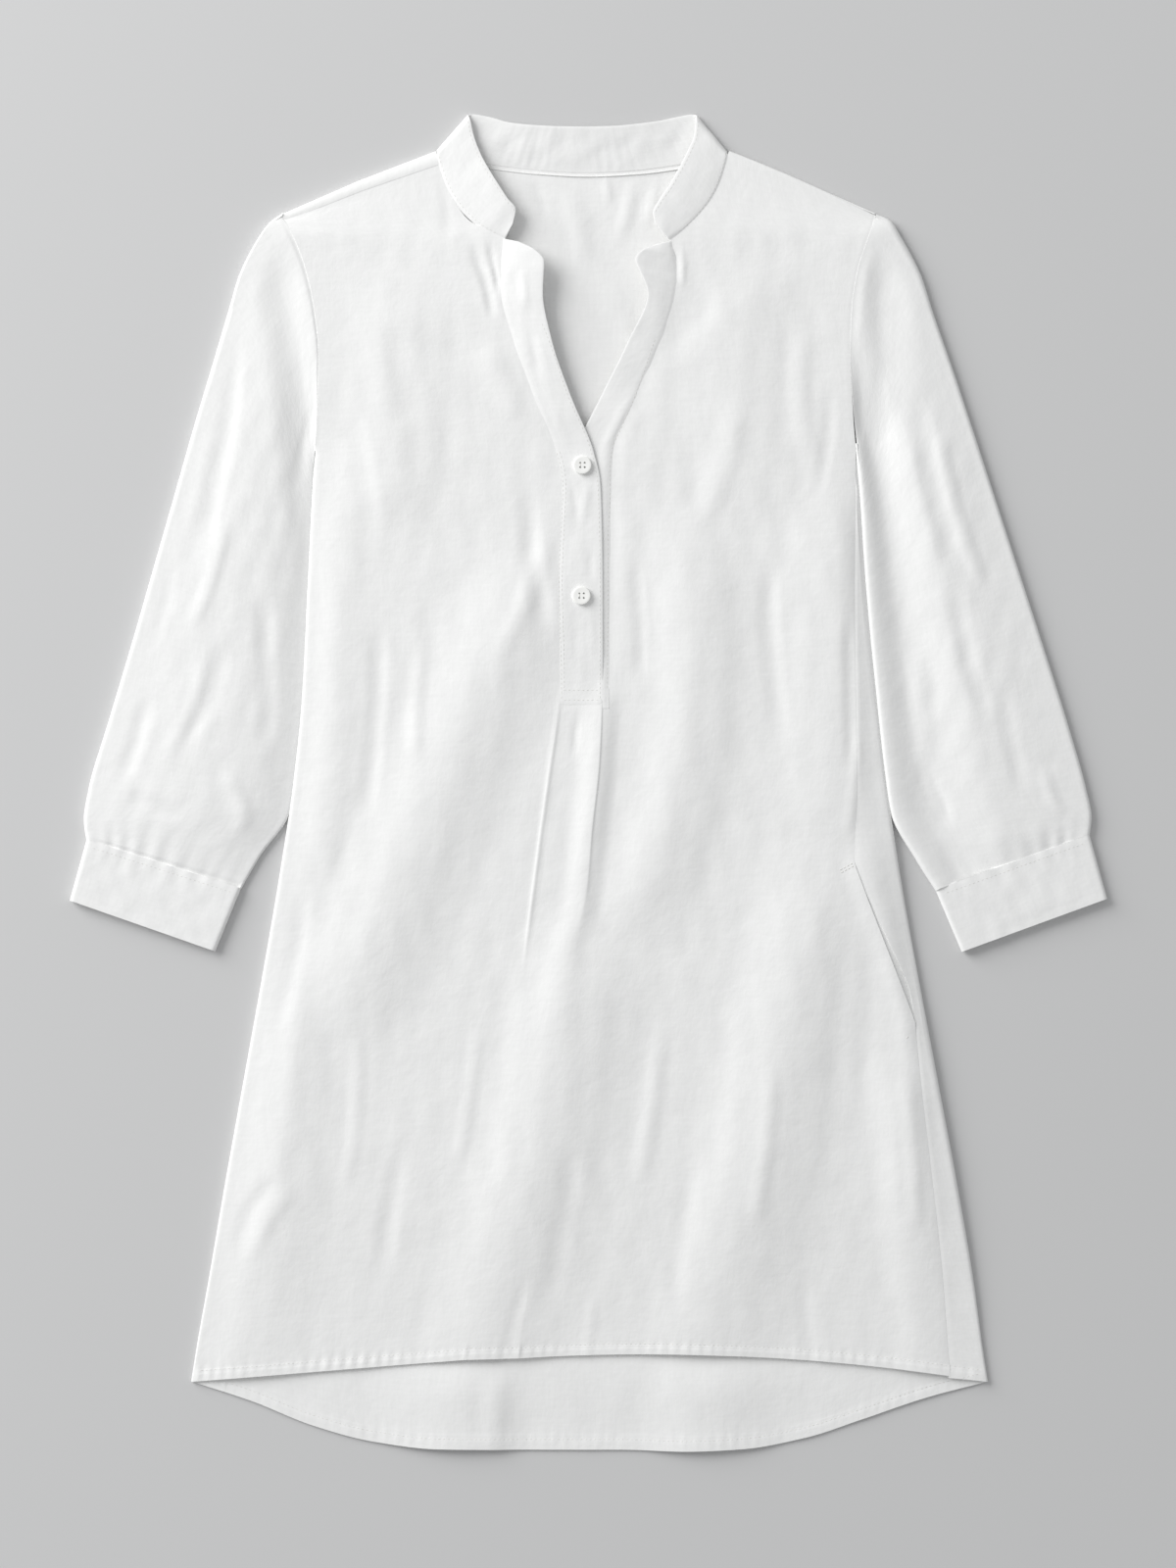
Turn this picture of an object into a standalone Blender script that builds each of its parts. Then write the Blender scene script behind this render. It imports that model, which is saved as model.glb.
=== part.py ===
"""Half-button blouse of white linen, laid flat on its back.

The garment is a flattened A-line tube with a band collar, a half placket that is buttoned with
two buttons, a pleat that opens below the placket, three-quarter sleeves gathered into cuffs, a
pocket in the right side seam and a hem that dips at the back. Sizes are in millimetres and are
turned to metres when a mesh is made. +Y runs from hem to collar, +X to the right of someone who
looks down on the blouse, and Z = 0 is the surface that it lies on.
"""
import math
from collections import namedtuple

import bmesh
import bpy
import numpy as np

MM = 0.001                # metres in a millimetre

# Cloth and clearances
CLOTH = 1.1               # wall of one layer of linen
BAND = 1.5                # wall of a placket band: two layers and interfacing
COLLAR_WALL = 1.6         # wall of the collar and the cuffs
GAP = 0.3                 # clearance between two pieces that are sewn together
PLY_GAP = 0.35            # clearance between the plies of the pleat

# Heights of the outer face above the surface that the blouse lies on
BASE = 2.9                # front panel where it lies in a valley
CREST = 6.05              # highest that a fold of the front panel rises
EDGE_TOP = 4.2            # front panel beside the folded side edges
SHOULDER_TOP = 3.8        # folded shoulder
EDGE_BLEND = 18.0         # width over which a side edge rises to the panel
SLIT_BLEND = 48.0         # width over which the panel rises to the placket

# Grid spacing
ROW_STEP = 24.0           # rows of the body
SLEEVE_STEP = 23.0        # rows of a sleeve
LEFT_COLUMNS = 12         # columns from the left fold to the placket
RIGHT_COLUMNS = 13        # columns from the placket to the right side seam
BACK_NECK_ROWS = 5        # rows of the back between the straight ones and the neckline
ROLL_COLUMNS = 2          # columns of the strip of back that rolls over to the top
BAND_COLUMNS = 3          # columns across a placket band
ARC_STEPS = 2             # segments in a quarter turn of a folded edge
PLY_STEPS = 4             # segments in a half turn of the pleat

# Buttons: an 18 line shirt button with four holes
BUTTON_RADIUS = 5.9
BUTTON_THICK = 2.3
BUTTON_DISH = 0.55        # depth of the dished middle
BUTTON_RIM = 1.5          # width of the raised rim
BUTTON_HOLE = 0.8         # radius of a thread hole
HOLE_SPREAD = 1.45        # offset of a thread hole from the middle along X and Y
BUTTON_SIDES = 28
HOLE_SIDES = 8

# A section of the body for each row. Both ends lie at side_y, on the folded edges or, above the
# underarm, on the armhole seams. The slit columns are the two cut edges at the placket, the V
# and the neckline, which close on the pleat below the placket. arc lifts the right part's middle.
Section = namedtuple("Section", "side_y left_x right_x slit_left_x slit_left_y slit_left_z "
                                "slit_right_x slit_right_y slit_right_z arc")
BODY = [
    Section(-391.0, -259.0, 261.0, -80.0, -376.5, 4.6, -44.0, -375.5, 3.4, 8.5),
    Section(-372.0, -256.0, 258.0, -77.0, -360.0, 4.6, -42.0, -359.0, 3.4, 6.5),
    Section(-321.0, -247.0, 251.0, -69.0, -313.0, 4.7, -37.0, -312.0, 3.4, 2.5),
    Section(-257.0, -236.0, 240.0, -60.0, -253.0, 4.9, -30.0, -252.0, 3.4, 0.5),
    Section(-193.0, -224.5, 228.0, -51.0, -192.0, 5.0, -22.5, -191.5, 3.2, 0.0),
    Section(-129.0, -213.0, 216.0, -43.0, -129.0, 4.3, -13.0, -129.0, 3.6, 0.0),
    Section(-65.0, -202.0, 204.5, -35.0, -65.0, 4.0, 1.5, -65.0, 2.7, 0.0),
    Section(-1.0, -192.5, 195.0, -26.0, -1.0, 4.4, 7.5, -1.0, 2.6, 0.0),
    Section(52.0, -187.0, 189.0, -18.3, 52.0, 5.4, 12.6, 52.0, 2.6, 0.0),
    Section(130.0, -183.0, 181.5, -18.9, 130.0, 4.7, 13.2, 130.0, 2.9, 0.0),
    Section(193.0, -179.8, 177.2, -16.6, 193.0, 4.8, 14.2, 193.0, 3.0, 0.0),
    Section(214.0, -178.4, 175.0, -20.6, 216.0, 4.9, 15.3, 216.0, 3.2, 0.0),
    Section(246.0, -176.4, 172.4, -34.5, 252.0, 5.1, 30.5, 252.0, 4.0, 0.0),
    Section(280.0, -175.6, 171.0, -47.5, 288.0, 5.3, 46.0, 287.0, 4.8, 0.0),
    Section(310.0, -178.6, 172.2, -55.5, 318.0, 5.5, 55.0, 315.0, 5.2, 0.0),
    Section(336.0, -184.4, 176.4, -55.4, 337.0, 5.6, 57.6, 334.0, 5.4, 0.0),
    Section(352.0, -190.2, 181.6, -54.0, 354.4, 5.6, 53.2, 353.0, 5.4, 0.0),
    Section(361.0, -194.8, 184.8, -77.0, 366.0, 5.3, 72.2, 370.0, 5.1, 0.0),
    Section(366.0, -197.6, 186.6, -92.0, 388.0, 4.7, 85.4, 390.5, 4.6, 0.0),
    Section(368.2, -199.6, 187.2, -98.6, 404.8, 4.0, 91.4, 410.4, 3.8, 1.4),
]
OVERLAP_RAISE = 0.2       # how far the overlap band stands above the front beside it
UNDERLAP_TOP = 2.8        # height of the underlap band where the overlap lies on it
LAP_LIFT = 0.4            # clearance between the foot of the bands and the pleat
PLEAT_MARGIN = 1.4        # from the pleat's folded edge to the right front's first column
PLEAT_END = 3.5           # station of BODY below which the slit edges follow the folds
UNDERARM = 11             # station of BODY where the side edges end and the armholes begin
PLACKET_FOOT = 8          # station of BODY where the placket ends and the pleat begins
NECK_NOTCH = 16           # station of BODY where the bands end and the collar begins

# The two placket bands for each station of BODY between the foot and the notch: the free edge
# of the overlap, which shows, and of the underlap, which lies under it below the V.
Lap = namedtuple("Lap", "station over_x over_y over_z under_x under_y under_z")
PLACKET = [
    Lap(8, 9.8, 52.4, 5.5, -15.0, 52.4, 2.8),
    Lap(9, 9.6, 130.0, 4.8, -15.2, 130.0, 2.8),
    Lap(10, 8.2, 193.0, 4.9, -14.0, 193.0, 2.8),
    Lap(11, 3.6, 216.0, 5.1, -8.6, 216.0, 2.9),
    Lap(12, -11.2, 252.0, 5.6, 8.6, 252.0, 4.2),
    Lap(13, -23.6, 288.0, 6.4, 26.5, 288.0, 5.8),
    Lap(14, -29.4, 318.0, 7.2, 39.0, 318.0, 7.0),
    Lap(15, -28.6, 339.0, 8.2, 31.0, 341.0, 8.2),
    Lap(15.5, -34.5, 346.6, 7.8, 35.5, 346.6, 7.6),
    Lap(16, -45.0, 352.2, 6.4, 43.5, 350.4, 6.4),
]

# How far the side seam lies from the folded edge, on top at the right and beneath at the left.
# The mouth of the pocket runs along the right seam from y = -53 to -158.
Inset = namedtuple("Inset", "y right left")
SIDE_SEAM = [
    Inset(214.0, 4.4, 4.4),
    Inset(142.0, 7.0, 7.0),
    Inset(69.0, 13.0, 13.0),
    Inset(-3.0, 20.0, 20.0),
    Inset(-52.8, 29.0, 23.0),
    Inset(-78.0, 23.7, 23.0),
    Inset(-156.0, 8.6, 23.0),
    Inset(-199.0, 12.0, 23.0),
    Inset(-391.0, 24.5, 23.0),
]
POCKET_TOP = -56.0
POCKET_FOOT = -161.0
POCKET_SHOW = 4.6         # width of facing that shows near the foot of the mouth
POCKET_SHOW_Y = -132.0    # where most of the facing shows
FACING_WALL = 1.0
FACING_TUCK = 9.0         # how far the facing reaches under the cloth on each side
FACING_DROP = 0.35        # clearance between the facing and the cloth over it
FACING_CLEAR = 1.6        # clearance between the facing and the inside of the right fold
FACING_ROWS = 6

# A soft fold of the front panel for each row: its crest runs through three points, it falls
# away over one width on its left and another on its right, and it rises by its height.
Fold = namedtuple("Fold", "x0 y0 x1 y1 x2 y2 wide_left wide_right height")
FOLDS = [
    Fold(-45, 176, -112, 8, -184, -116, 46, 52, 2.9),
    Fold(-176, -100, -196, -215, -190, -378, 44, 66, 2.9),
    Fold(-163, 208, -164, 60, -178, -84, 17, 16, 2.5),
    Fold(-24, -118, -60, -238, -107, -380, 46, 66, 3.0),
    Fold(58, 214, 61, 100, 24, -60, 40, 34, 2.5),
    Fold(150, 205, 151, 20, 86, -382, 58, 44, 3.0),
    Fold(196, -150, 206, -230, 221, -380, 40, 22, 2.4),
    Fold(-128, 340, -122, 250, -138, 150, 44, 40, 1.4),
    Fold(112, 352, 124, 250, 108, 160, 40, 40, 1.5),
    Fold(-226, -240, -224, -300, -232, -380, 15, 20, 1.2),
    Fold(164, -12, 190, -100, 222, -200, 32, 30, 1.7),
]
FOLD_FADE = 0.22          # share of a fold's length over which each end fades
FOLD_SAMPLES = 40

# The pleat below the placket: how far its under ply reaches back, and how far the cloth turns.
Pleat = namedtuple("Pleat", "y reach turn")
PLEAT = [
    Pleat(52.0, 13.0, 180.0),
    Pleat(0.0, 9.0, 180.0),
    Pleat(-40.0, 4.5, 180.0),
    Pleat(-65.0, 1.5, 180.0),
    Pleat(-90.0, 0.4, 140.0),
    Pleat(-112.0, 0.3, 80.0),
    Pleat(-132.0, 0.3, 35.0),
    Pleat(-155.0, 0.3, 0.0),
]

# A station of the collar for each row: its base runs along the neckline and its top is the free
# edge, from the left front end round the back to the right front end.
Stand = namedtuple("Stand", "base_x base_y base_z top_x top_y top_z")
COLLAR = [
    Stand(-53.2, 355.9, 5.3, -48.9, 364.0, 8.4),
    Stand(-60.0, 358.8, 5.2, -47.0, 373.0, 9.6),
    Stand(-68.2, 363.2, 5.0, -52.4, 380.5, 10.6),
    Stand(-76.4, 369.6, 4.8, -58.4, 389.8, 10.8),
    Stand(-85.4, 380.0, 4.5, -64.4, 399.5, 9.8),
    Stand(-91.6, 391.2, 4.3, -70.0, 410.0, 8.0),
    Stand(-95.6, 402.2, 4.1, -74.6, 422.6, 6.2),
    Stand(-97.6, 409.2, 3.9, -76.8, 432.4, 4.8),
    Stand(-98.6, 412.0, 2.4, -78.0, 435.4, 2.7),
    Stand(-96.2, 413.0, 0.95, -75.6, 436.2, 0.95),
    Stand(-84.0, 409.8, 0.9, -65.0, 434.6, 0.9),
    Stand(-63.5, 405.9, 0.9, -51.0, 430.8, 1.6),
    Stand(-43.5, 403.2, 0.9, -35.0, 429.0, 2.4),
    Stand(-21.0, 401.2, 0.9, -18.0, 428.2, 2.8),
    Stand(0.0, 400.5, 0.9, -2.0, 428.0, 2.9),
    Stand(21.0, 401.2, 0.9, 16.0, 428.4, 2.8),
    Stand(43.5, 403.4, 0.9, 33.0, 430.0, 2.4),
    Stand(60.0, 405.9, 0.9, 47.0, 432.0, 1.6),
    Stand(77.0, 409.4, 0.9, 59.0, 434.6, 0.9),
    Stand(88.4, 412.4, 0.95, 68.4, 436.0, 0.95),
    Stand(90.4, 411.4, 2.4, 70.6, 434.8, 2.7),
    Stand(89.8, 408.8, 3.9, 70.2, 430.0, 4.8),
    Stand(88.0, 401.8, 4.1, 69.2, 422.0, 6.2),
    Stand(84.6, 391.6, 4.3, 65.4, 412.6, 8.0),
    Stand(78.6, 380.2, 4.5, 59.4, 400.6, 9.8),
    Stand(71.2, 370.8, 4.8, 52.4, 388.4, 10.8),
    Stand(63.4, 363.0, 5.0, 45.8, 378.6, 10.6),
    Stand(57.4, 358.4, 5.2, 42.4, 371.4, 9.6),
    Stand(52.0, 354.8, 5.3, 43.6, 364.4, 8.4),
]
COLLAR_ROWS = 4           # divisions from the base of the collar to its free edge
COLLAR_CROWN = 1.0        # how far the collar bellies between base and free edge

# The neckline and shoulders of the back panel, from the left shoulder point to the right one
Point = namedtuple("Point", "x y")
BACK_TOP = [
    Point(-200.4, 370.9), Point(-150.0, 392.8), Point(-99.8, 412.0), Point(-84.0, 407.2),
    Point(-63.5, 403.6), Point(-34.0, 400.2), Point(0.0, 398.5), Point(34.0, 400.2),
    Point(60.0, 403.6), Point(77.0, 407.0), Point(91.8, 411.4), Point(140.0, 392.4),
    Point(187.6, 371.6),
]
NECK_LEFT = 2             # index in BACK_TOP where the left shoulder meets the neckline
NECK_RIGHT = 10           # index in BACK_TOP where the neckline meets the right shoulder
LEFT_LAP_TIP = 2.3        # how far the back comes over the left shoulder at its point
LEFT_LAP_NECK = 6.8       # the same beside the collar
LAP_LEAN = 0.2            # how far the lap leans toward the collar for each millimetre
BACK_STRAIGHT = 14        # station of BODY above which the back's rows bend to its neckline

# The back's hem below a straight line between its corners, at even steps from left to right
HEM_DIP = (0.0, 13.0, 29.0, 39.5, 44.0, 44.4, 44.6, 44.6, 45.6, 44.0, 37.0, 24.0, 10.5, 0.0)
HEM_FADE = 3.0            # stations of BODY over which the dip fades

# A section of a sleeve for each row, from the armhole to the cuff seam: the outer and inner
# folded edges and how far the row bows outward, away from the armhole.
Ring = namedtuple("Ring", "outer_x outer_y inner_x inner_y bow top")
SLEEVE_LEFT = [
    Ring(-200.9, 370.4, -178.9, 221.0, 1.0, 4.6),
    Ring(-208.0, 365.2, -179.0, 217.0, 0.85, 5.0),
    Ring(-215.0, 355.5, -179.2, 213.0, 0.7, 5.4),
    Ring(-227.2, 332.0, -179.6, 208.0, 0.5, 5.8),
    Ring(-235.0, 306.2, -180.2, 201.0, 0.35, 6.0),
    Ring(-246.4, 267.8, -181.0, 190.0, 0.22, 6.0),
    Ring(-257.9, 229.4, -182.0, 172.0, 0.1, 6.0),
    Ring(-268.8, 191.0, -183.4, 145.0, 0.0, 6.0),
    Ring(-283.5, 139.8, -185.4, 103.0, 0.0, 6.0),
    Ring(-298.2, 88.6, -187.6, 60.0, 0.0, 5.9),
    Ring(-313.6, 37.4, -192.2, 12.0, 0.0, 5.6),
    Ring(-325.4, -2.0, -197.6, -20.0, 0.0, 5.2),
    Ring(-329.0, -24.0, -213.4, -47.0, 0.0, 4.9),
    Ring(-327.3, -38.0, -226.6, -69.8, 0.0, 4.5),
]
SLEEVE_RIGHT = [
    Ring(188.2, 370.8, 175.6, 221.0, 1.0, 4.6),
    Ring(197.8, 366.4, 175.8, 217.0, 0.85, 5.0),
    Ring(203.5, 357.4, 176.0, 213.0, 0.7, 5.4),
    Ring(217.0, 331.8, 176.7, 208.0, 0.5, 5.8),
    Ring(225.4, 306.0, 177.4, 201.0, 0.35, 6.0),
    Ring(238.6, 268.0, 178.4, 190.0, 0.22, 6.0),
    Ring(251.4, 229.4, 179.8, 172.0, 0.1, 6.0),
    Ring(263.9, 191.0, 181.6, 145.0, 0.0, 6.0),
    Ring(280.6, 139.8, 184.8, 103.0, 0.0, 6.0),
    Ring(297.2, 88.6, 189.2, 60.0, 0.0, 5.9),
    Ring(313.4, 37.4, 194.8, 12.0, 0.0, 5.6),
    Ring(324.6, -2.0, 199.8, -20.0, 0.0, 5.2),
    Ring(328.6, -22.0, 213.6, -50.0, 0.0, 4.9),
    Ring(327.4, -34.8, 226.8, -70.8, 0.0, 4.5),
]
OUTER_TOP = 3.8           # height of a sleeve beside its outer fold
INNER_TOP = 2.8           # height of a sleeve beside the body
RIDGE_AT = 0.66           # share of the sleeve's width where its long ridge stands
SLEEVE_COLUMNS = 15       # columns over the top of a sleeve
SLEEVE_UNDER = 6          # columns beneath a sleeve
BODY_CLEAR = 0.4          # clearance between a sleeve and the body's folded side
ARMHOLE_CLEAR = 0.65      # clearance at the armhole, whose curve both pieces cut short
SHOULDER_LEAN = 0.5       # how far the outline leans out for each millimetre past the shoulder
SIDE_CLEAR_RUN = 8.0      # how far below the underarm the armhole's clearance reaches
GATHERS = 5               # puckers over the top of a sleeve at the cuff
GATHER_RISE = 0.55        # how far a pucker rises
GATHER_RUN = 2.2          # sections over which the puckers fade up the sleeve

# Cuffs: the two ends of the lower edge, and the height of the flattened band
Cuff = namedtuple("Cuff", "outer_x outer_y inner_x inner_y")
CUFF_LEFT = Cuff(-338.1, -76.9, -243.2, -110.1)
CUFF_RIGHT = Cuff(338.8, -75.7, 243.8, -110.4)
CUFF_TOP = 4.5
CUFF_ROWS = 3
CUFF_COLUMNS = 10         # columns over the top of a cuff
CUFF_UNDER = 6            # columns beneath a cuff
CUFF_SEAM = 0.4           # clearance between a sleeve and its cuff

Place = namedtuple("Place", "name x y z")
BUTTONS = [
    Place("button_upper", -3.6, 206.8, 5.5),
    Place("button_lower", -4.2, 121.7, 5.3),
]

Finish = namedtuple("Finish", "colour roughness")
LINEN = Finish((0.86, 0.86, 0.85), 0.88)
LINEN_BAND = Finish((0.88, 0.88, 0.87), 0.86)
BUTTON_RESIN = Finish((0.83, 0.83, 0.80), 0.32)


def clear_scene():
    """Remove every object that the file opened with."""
    for obj in list(bpy.data.objects):
        bpy.data.objects.remove(obj, do_unlink=True)


def material(name, finish):
    """Return a Principled material of one colour and roughness."""
    made = bpy.data.materials.new(name)
    made.use_nodes = True
    shader = made.node_tree.nodes["Principled BSDF"]
    shader.inputs["Base Color"].default_value = (*finish.colour, 1.0)
    shader.inputs["Roughness"].default_value = finish.roughness
    shader.inputs["Metallic"].default_value = 0.0
    return made


def ease(share):
    """Turn a share from 0 to 1 into one that starts and ends level."""
    share = np.clip(share, 0.0, 1.0)
    return share * share * (3.0 - 2.0 * share)


def bell(share):
    """Return 1 at 0 and fall level to 0 at 1 and beyond."""
    return 0.5 + 0.5 * np.cos(np.pi * np.clip(np.abs(share), 0.0, 1.0))


def track(keys, values):
    """Return a smooth function through the values at the keys that never overshoots them."""
    keys, values = np.asarray(keys, float), np.asarray(values, float)
    if keys[0] > keys[-1]:
        keys, values = keys[::-1], values[::-1]
    steps = np.diff(values) / np.diff(keys)
    slopes = np.zeros_like(values)
    slopes[0], slopes[-1] = steps[0], steps[-1]
    for i in range(1, len(keys) - 1):
        product = steps[i - 1] * steps[i]
        if product > 0.0:
            slopes[i] = 2.0 * product / (steps[i - 1] + steps[i])

    def at(key):
        key = np.clip(key, keys[0], keys[-1])
        i = np.clip(np.searchsorted(keys, key) - 1, 0, len(keys) - 2)
        span = keys[i + 1] - keys[i]
        t = (key - keys[i]) / span
        rise = values[i + 1] - values[i]
        start, end = span * slopes[i], span * slopes[i + 1]
        return (values[i] + t * start + t * t * (3.0 * rise - 2.0 * start - end)
                + t * t * t * (start + end - 2.0 * rise))

    return at


def tracks(rows, keys):
    """Return a namedtuple of tracks, one for each column of a table."""
    kind = type(rows[0])
    return kind(*(track(keys, [getattr(row, name) for row in rows]) for name in kind._fields))


BODY_AT = tracks(BODY, range(len(BODY)))
SIDES = tracks(BODY, [row.side_y for row in BODY])
LAP_AT = tracks(PLACKET, [row.station for row in PLACKET])
SEAM_AT = tracks(SIDE_SEAM, [row.y for row in SIDE_SEAM])
PLEAT_AT = tracks(PLEAT, [row.y for row in PLEAT])
HEM_AT = track(np.linspace(0.0, 1.0, len(HEM_DIP)), HEM_DIP)
BACK_SHARES = [(point.x - BACK_TOP[0].x) / (BACK_TOP[-1].x - BACK_TOP[0].x)
               for point in BACK_TOP]


def fold_crest(fold):
    """Return points along the crest of a fold, through its three points."""
    s = np.linspace(0.0, 1.0, FOLD_SAMPLES)[:, None]
    start, middle, end = ((fold.x0, fold.y0), (fold.x1, fold.y1), (fold.x2, fold.y2))
    first = (1.0 - s) * (1.0 - 2.0 * s)
    second = 4.0 * s * (1.0 - s)
    third = s * (2.0 * s - 1.0)
    return first * np.array(start) + second * np.array(middle) + third * np.array(end)


CRESTS = [fold_crest(fold) for fold in FOLDS]


def fold_rise(x, y):
    """Return how far the folds lift the front panel at a place."""
    total = 0.0
    for fold, crest in zip(FOLDS, CRESTS):
        away = crest - np.array((x, y))
        near = int(np.argmin((away ** 2).sum(axis=1)))
        distance = math.hypot(*away[near])
        wide = fold.wide_left if away[near][0] > 0.0 else fold.wide_right
        along = near / (FOLD_SAMPLES - 1)
        ends = ease(along / FOLD_FADE) * ease((1.0 - along) / FOLD_FADE)
        if fold.y2 < BODY[1].side_y:
            ends = ease(along / FOLD_FADE)
        total += (fold.height * ends * bell(distance / wide)) ** 3
    return total ** (1.0 / 3.0)


def body_top(x, y):
    """Return the height of the body's upper face at a place."""
    height = min(BASE + fold_rise(x, y), CREST)
    inside = min(x - float(SIDES.left_x(y)), float(SIDES.right_x(y)) - x)
    share = ease(inside / EDGE_BLEND)
    return EDGE_TOP + (height - EDGE_TOP) * share


def armhole_x(side, y):
    """Return the body's outline at a height, on the left (-1) or the right (1)."""
    edge = float(SIDES.left_x(y) if side < 0 else SIDES.right_x(y))
    return edge + side * SHOULDER_LEAN * max(0.0, y - BODY[-1].side_y)


def section(t):
    """Return the section of the body at a station, its ends on the side outline."""
    row = Section(*(float(column(t)) for column in BODY_AT))
    return row._replace(left_x=armhole_x(-1.0, row.side_y), right_x=armhole_x(1.0, row.side_y))


def rows_between(stations, step):
    """Return row positions, as fractions of a station, about a step apart."""
    rows = []
    for i, (here, there) in enumerate(zip(stations, stations[1:])):
        span = max(math.dist(here[:2], there[:2]), math.dist(here[2:], there[2:]))
        count = max(1, round(span / step))
        rows += [i + k / count for k in range(count)]
    return rows + [float(len(stations) - 1)]


def cloth(name, points, present, finish, wall=CLOTH, offset=-1.0, closed=False, even=True):
    """Make a walled cloth object from a grid of points.

    points[i][j] are in millimetres and lie on the cloth's outer face. present(i, j) tells
    whether the cell from row i to i + 1 and column j to j + 1 is there. offset is Solidify's:
    -1 puts the wall below a grid whose rows run from left to right, 1 above it and 0 half on
    each side. closed joins the last column to the first.
    """
    shape = bmesh.new()
    placed = {}

    def corner(i, j):
        j %= len(points[i])
        if (i, j) not in placed:
            placed[i, j] = shape.verts.new([c * MM for c in points[i][j]])
        return placed[i, j]

    columns = len(points[0]) - (0 if closed else 1)
    for i in range(len(points) - 1):
        for j in range(columns):
            if present(i, j):
                shape.faces.new((corner(i, j), corner(i, j + 1), corner(i + 1, j + 1),
                                 corner(i + 1, j)))
    if closed:
        bmesh.ops.recalc_face_normals(shape, faces=shape.faces)
    mesh = bpy.data.meshes.new(name)
    shape.to_mesh(mesh)
    shape.free()
    mesh.shade_smooth()
    mesh.materials.append(finish)
    obj = bpy.data.objects.new(name, mesh)
    bpy.context.collection.objects.link(obj)
    thicken = obj.modifiers.new("wall", "SOLIDIFY")
    thicken.thickness = wall * MM
    thicken.offset = offset
    thicken.use_even_offset = even
    return obj


def everywhere(i, j):
    """Tell that every cell of a grid is cloth."""
    return True


def edge_arc(edge_x, top, inward, turns):
    """Return x and z round a folded edge, for turns in degrees above its outermost point."""
    radius = top / 2.0
    return [(edge_x + inward * radius * (1.0 - math.cos(math.radians(turn))),
             radius * (1.0 + math.sin(math.radians(turn)))) for turn in turns]


def quarter_turns(first, last):
    """Return turns in degrees from one quarter's count to another's."""
    return [90.0 * k / ARC_STEPS for k in range(first * ARC_STEPS, last * ARC_STEPS + 1)]


def to_shoulder(height, t, shoulder):
    """Return a height that runs into the shoulder's over the last stations."""
    share = float(ease((t - NECK_NOTCH) / (len(BODY) - 1 - NECK_NOTCH)))
    return height + (shoulder - height) * share


def front_point(x, y, t, slit, side):
    """Return a point of the front's outer face between a slit edge and the side.

    slit is the x, y and z of the row's slit edge, side its share of the way from the side.
    """
    slit_x, slit_y, slit_z = slit
    near = float(bell(abs(x - slit_x) / SLIT_BLEND)) * float(ease((t - PLEAT_END) / 1.5))
    height = body_top(x, y) + (slit_z - body_top(slit_x, slit_y)) * near
    height = to_shoulder(height, t, SHOULDER_TOP + (slit_z - SHOULDER_TOP) * side)
    return x, y, max(height, 2.0 * CLOTH + GAP)


def body_rows(first, last):
    """Return the stations of the body's rows from one station to another."""
    rows = rows_between([(row.side_y, row.left_x, row.slit_left_x, row.slit_left_y)
                         for row in BODY], ROW_STEP)
    return [t for t in rows if first <= t <= last]


def front_panel(finish):
    """Make the front: round the left fold, over the top and on to the right side seam."""
    rows = body_rows(0, len(BODY) - 1)
    points = [front_left(t) + front_pleat(t) + front_right(t) for t in rows]
    apex = len(quarter_turns(-1, 0))
    slit_left = len(front_left(0.0)) - 1
    slit_right = slit_left + len(front_pleat(0.0)) + 1
    top = len(rows) - 1
    points += shoulder_rows(points[-1], slit_right)

    def present(i, j):
        if i >= top:
            return j >= slit_right
        if j < apex:
            return rows[i] < UNDERARM
        if slit_left <= j < slit_right:
            return rows[i] < PLACKET_FOOT
        return True

    return cloth("front", points, present, finish)


def front_left(t):
    """Return a row of the left front, from the seam beneath it to the placket."""
    row = section(t)
    top = to_shoulder(body_top(row.left_x, row.side_y), t, SHOULDER_TOP)
    under_x = row.left_x + max(float(SEAM_AT.left(row.side_y)), top / 2.0 + 0.6)
    points = [(under_x, row.side_y - hem_dip(under_x, t), 0.0)]
    for x, z in edge_arc(row.left_x, top, 1.0, quarter_turns(-1, 1)):
        dip = hem_dip(x, t) if z < top / 2.0 else 0.0
        points.append((x, row.side_y - dip, z if t <= UNDERARM else top))
    start_x = points[-1][0]
    slit = (row.slit_left_x, row.slit_left_y, row.slit_left_z)
    for k in range(1, LEFT_COLUMNS + 1):
        share = k / LEFT_COLUMNS
        x = start_x + (row.slit_left_x - start_x) * share
        y = row.side_y + (row.slit_left_y - row.side_y) * share
        points.append(front_point(x, y, t, slit, share))
    return points


def front_pleat(t):
    """Return a row of the pleat's plies, between the two slit edges."""
    row = section(t)
    y_mid = (row.slit_left_y + row.slit_right_y) / 2.0
    turn = float(PLEAT_AT.turn(y_mid))
    profile = pleat_profile(float(PLEAT_AT.reach(y_mid)), turn)
    edge_x = row.slit_right_x - PLEAT_MARGIN - max(profile[-1][0], profile[0][0])
    high = row.slit_right_z - profile[-1][1]
    lead = [(row.slit_left_x + (edge_x - row.slit_left_x) * share,
             row.slit_left_z + (high - row.slit_left_z) * share) for share in (0.4, 0.8)]
    plies = lead + [(edge_x + dx, high + dz) for dx, dz in profile]
    open_share = (1.0 - turn / 180.0) ** 2
    points = []
    for k, (x, z) in enumerate(plies, start=1):
        share = k / (len(plies) + 1)
        even_x = row.slit_left_x + (row.slit_right_x - row.slit_left_x) * share
        x += (even_x - x) * open_share
        y = row.slit_left_y + (row.slit_right_y - row.slit_left_y) * share
        z += (body_top(x, y) - z) * open_share
        points.append((x, y, z))
    return points


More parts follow.
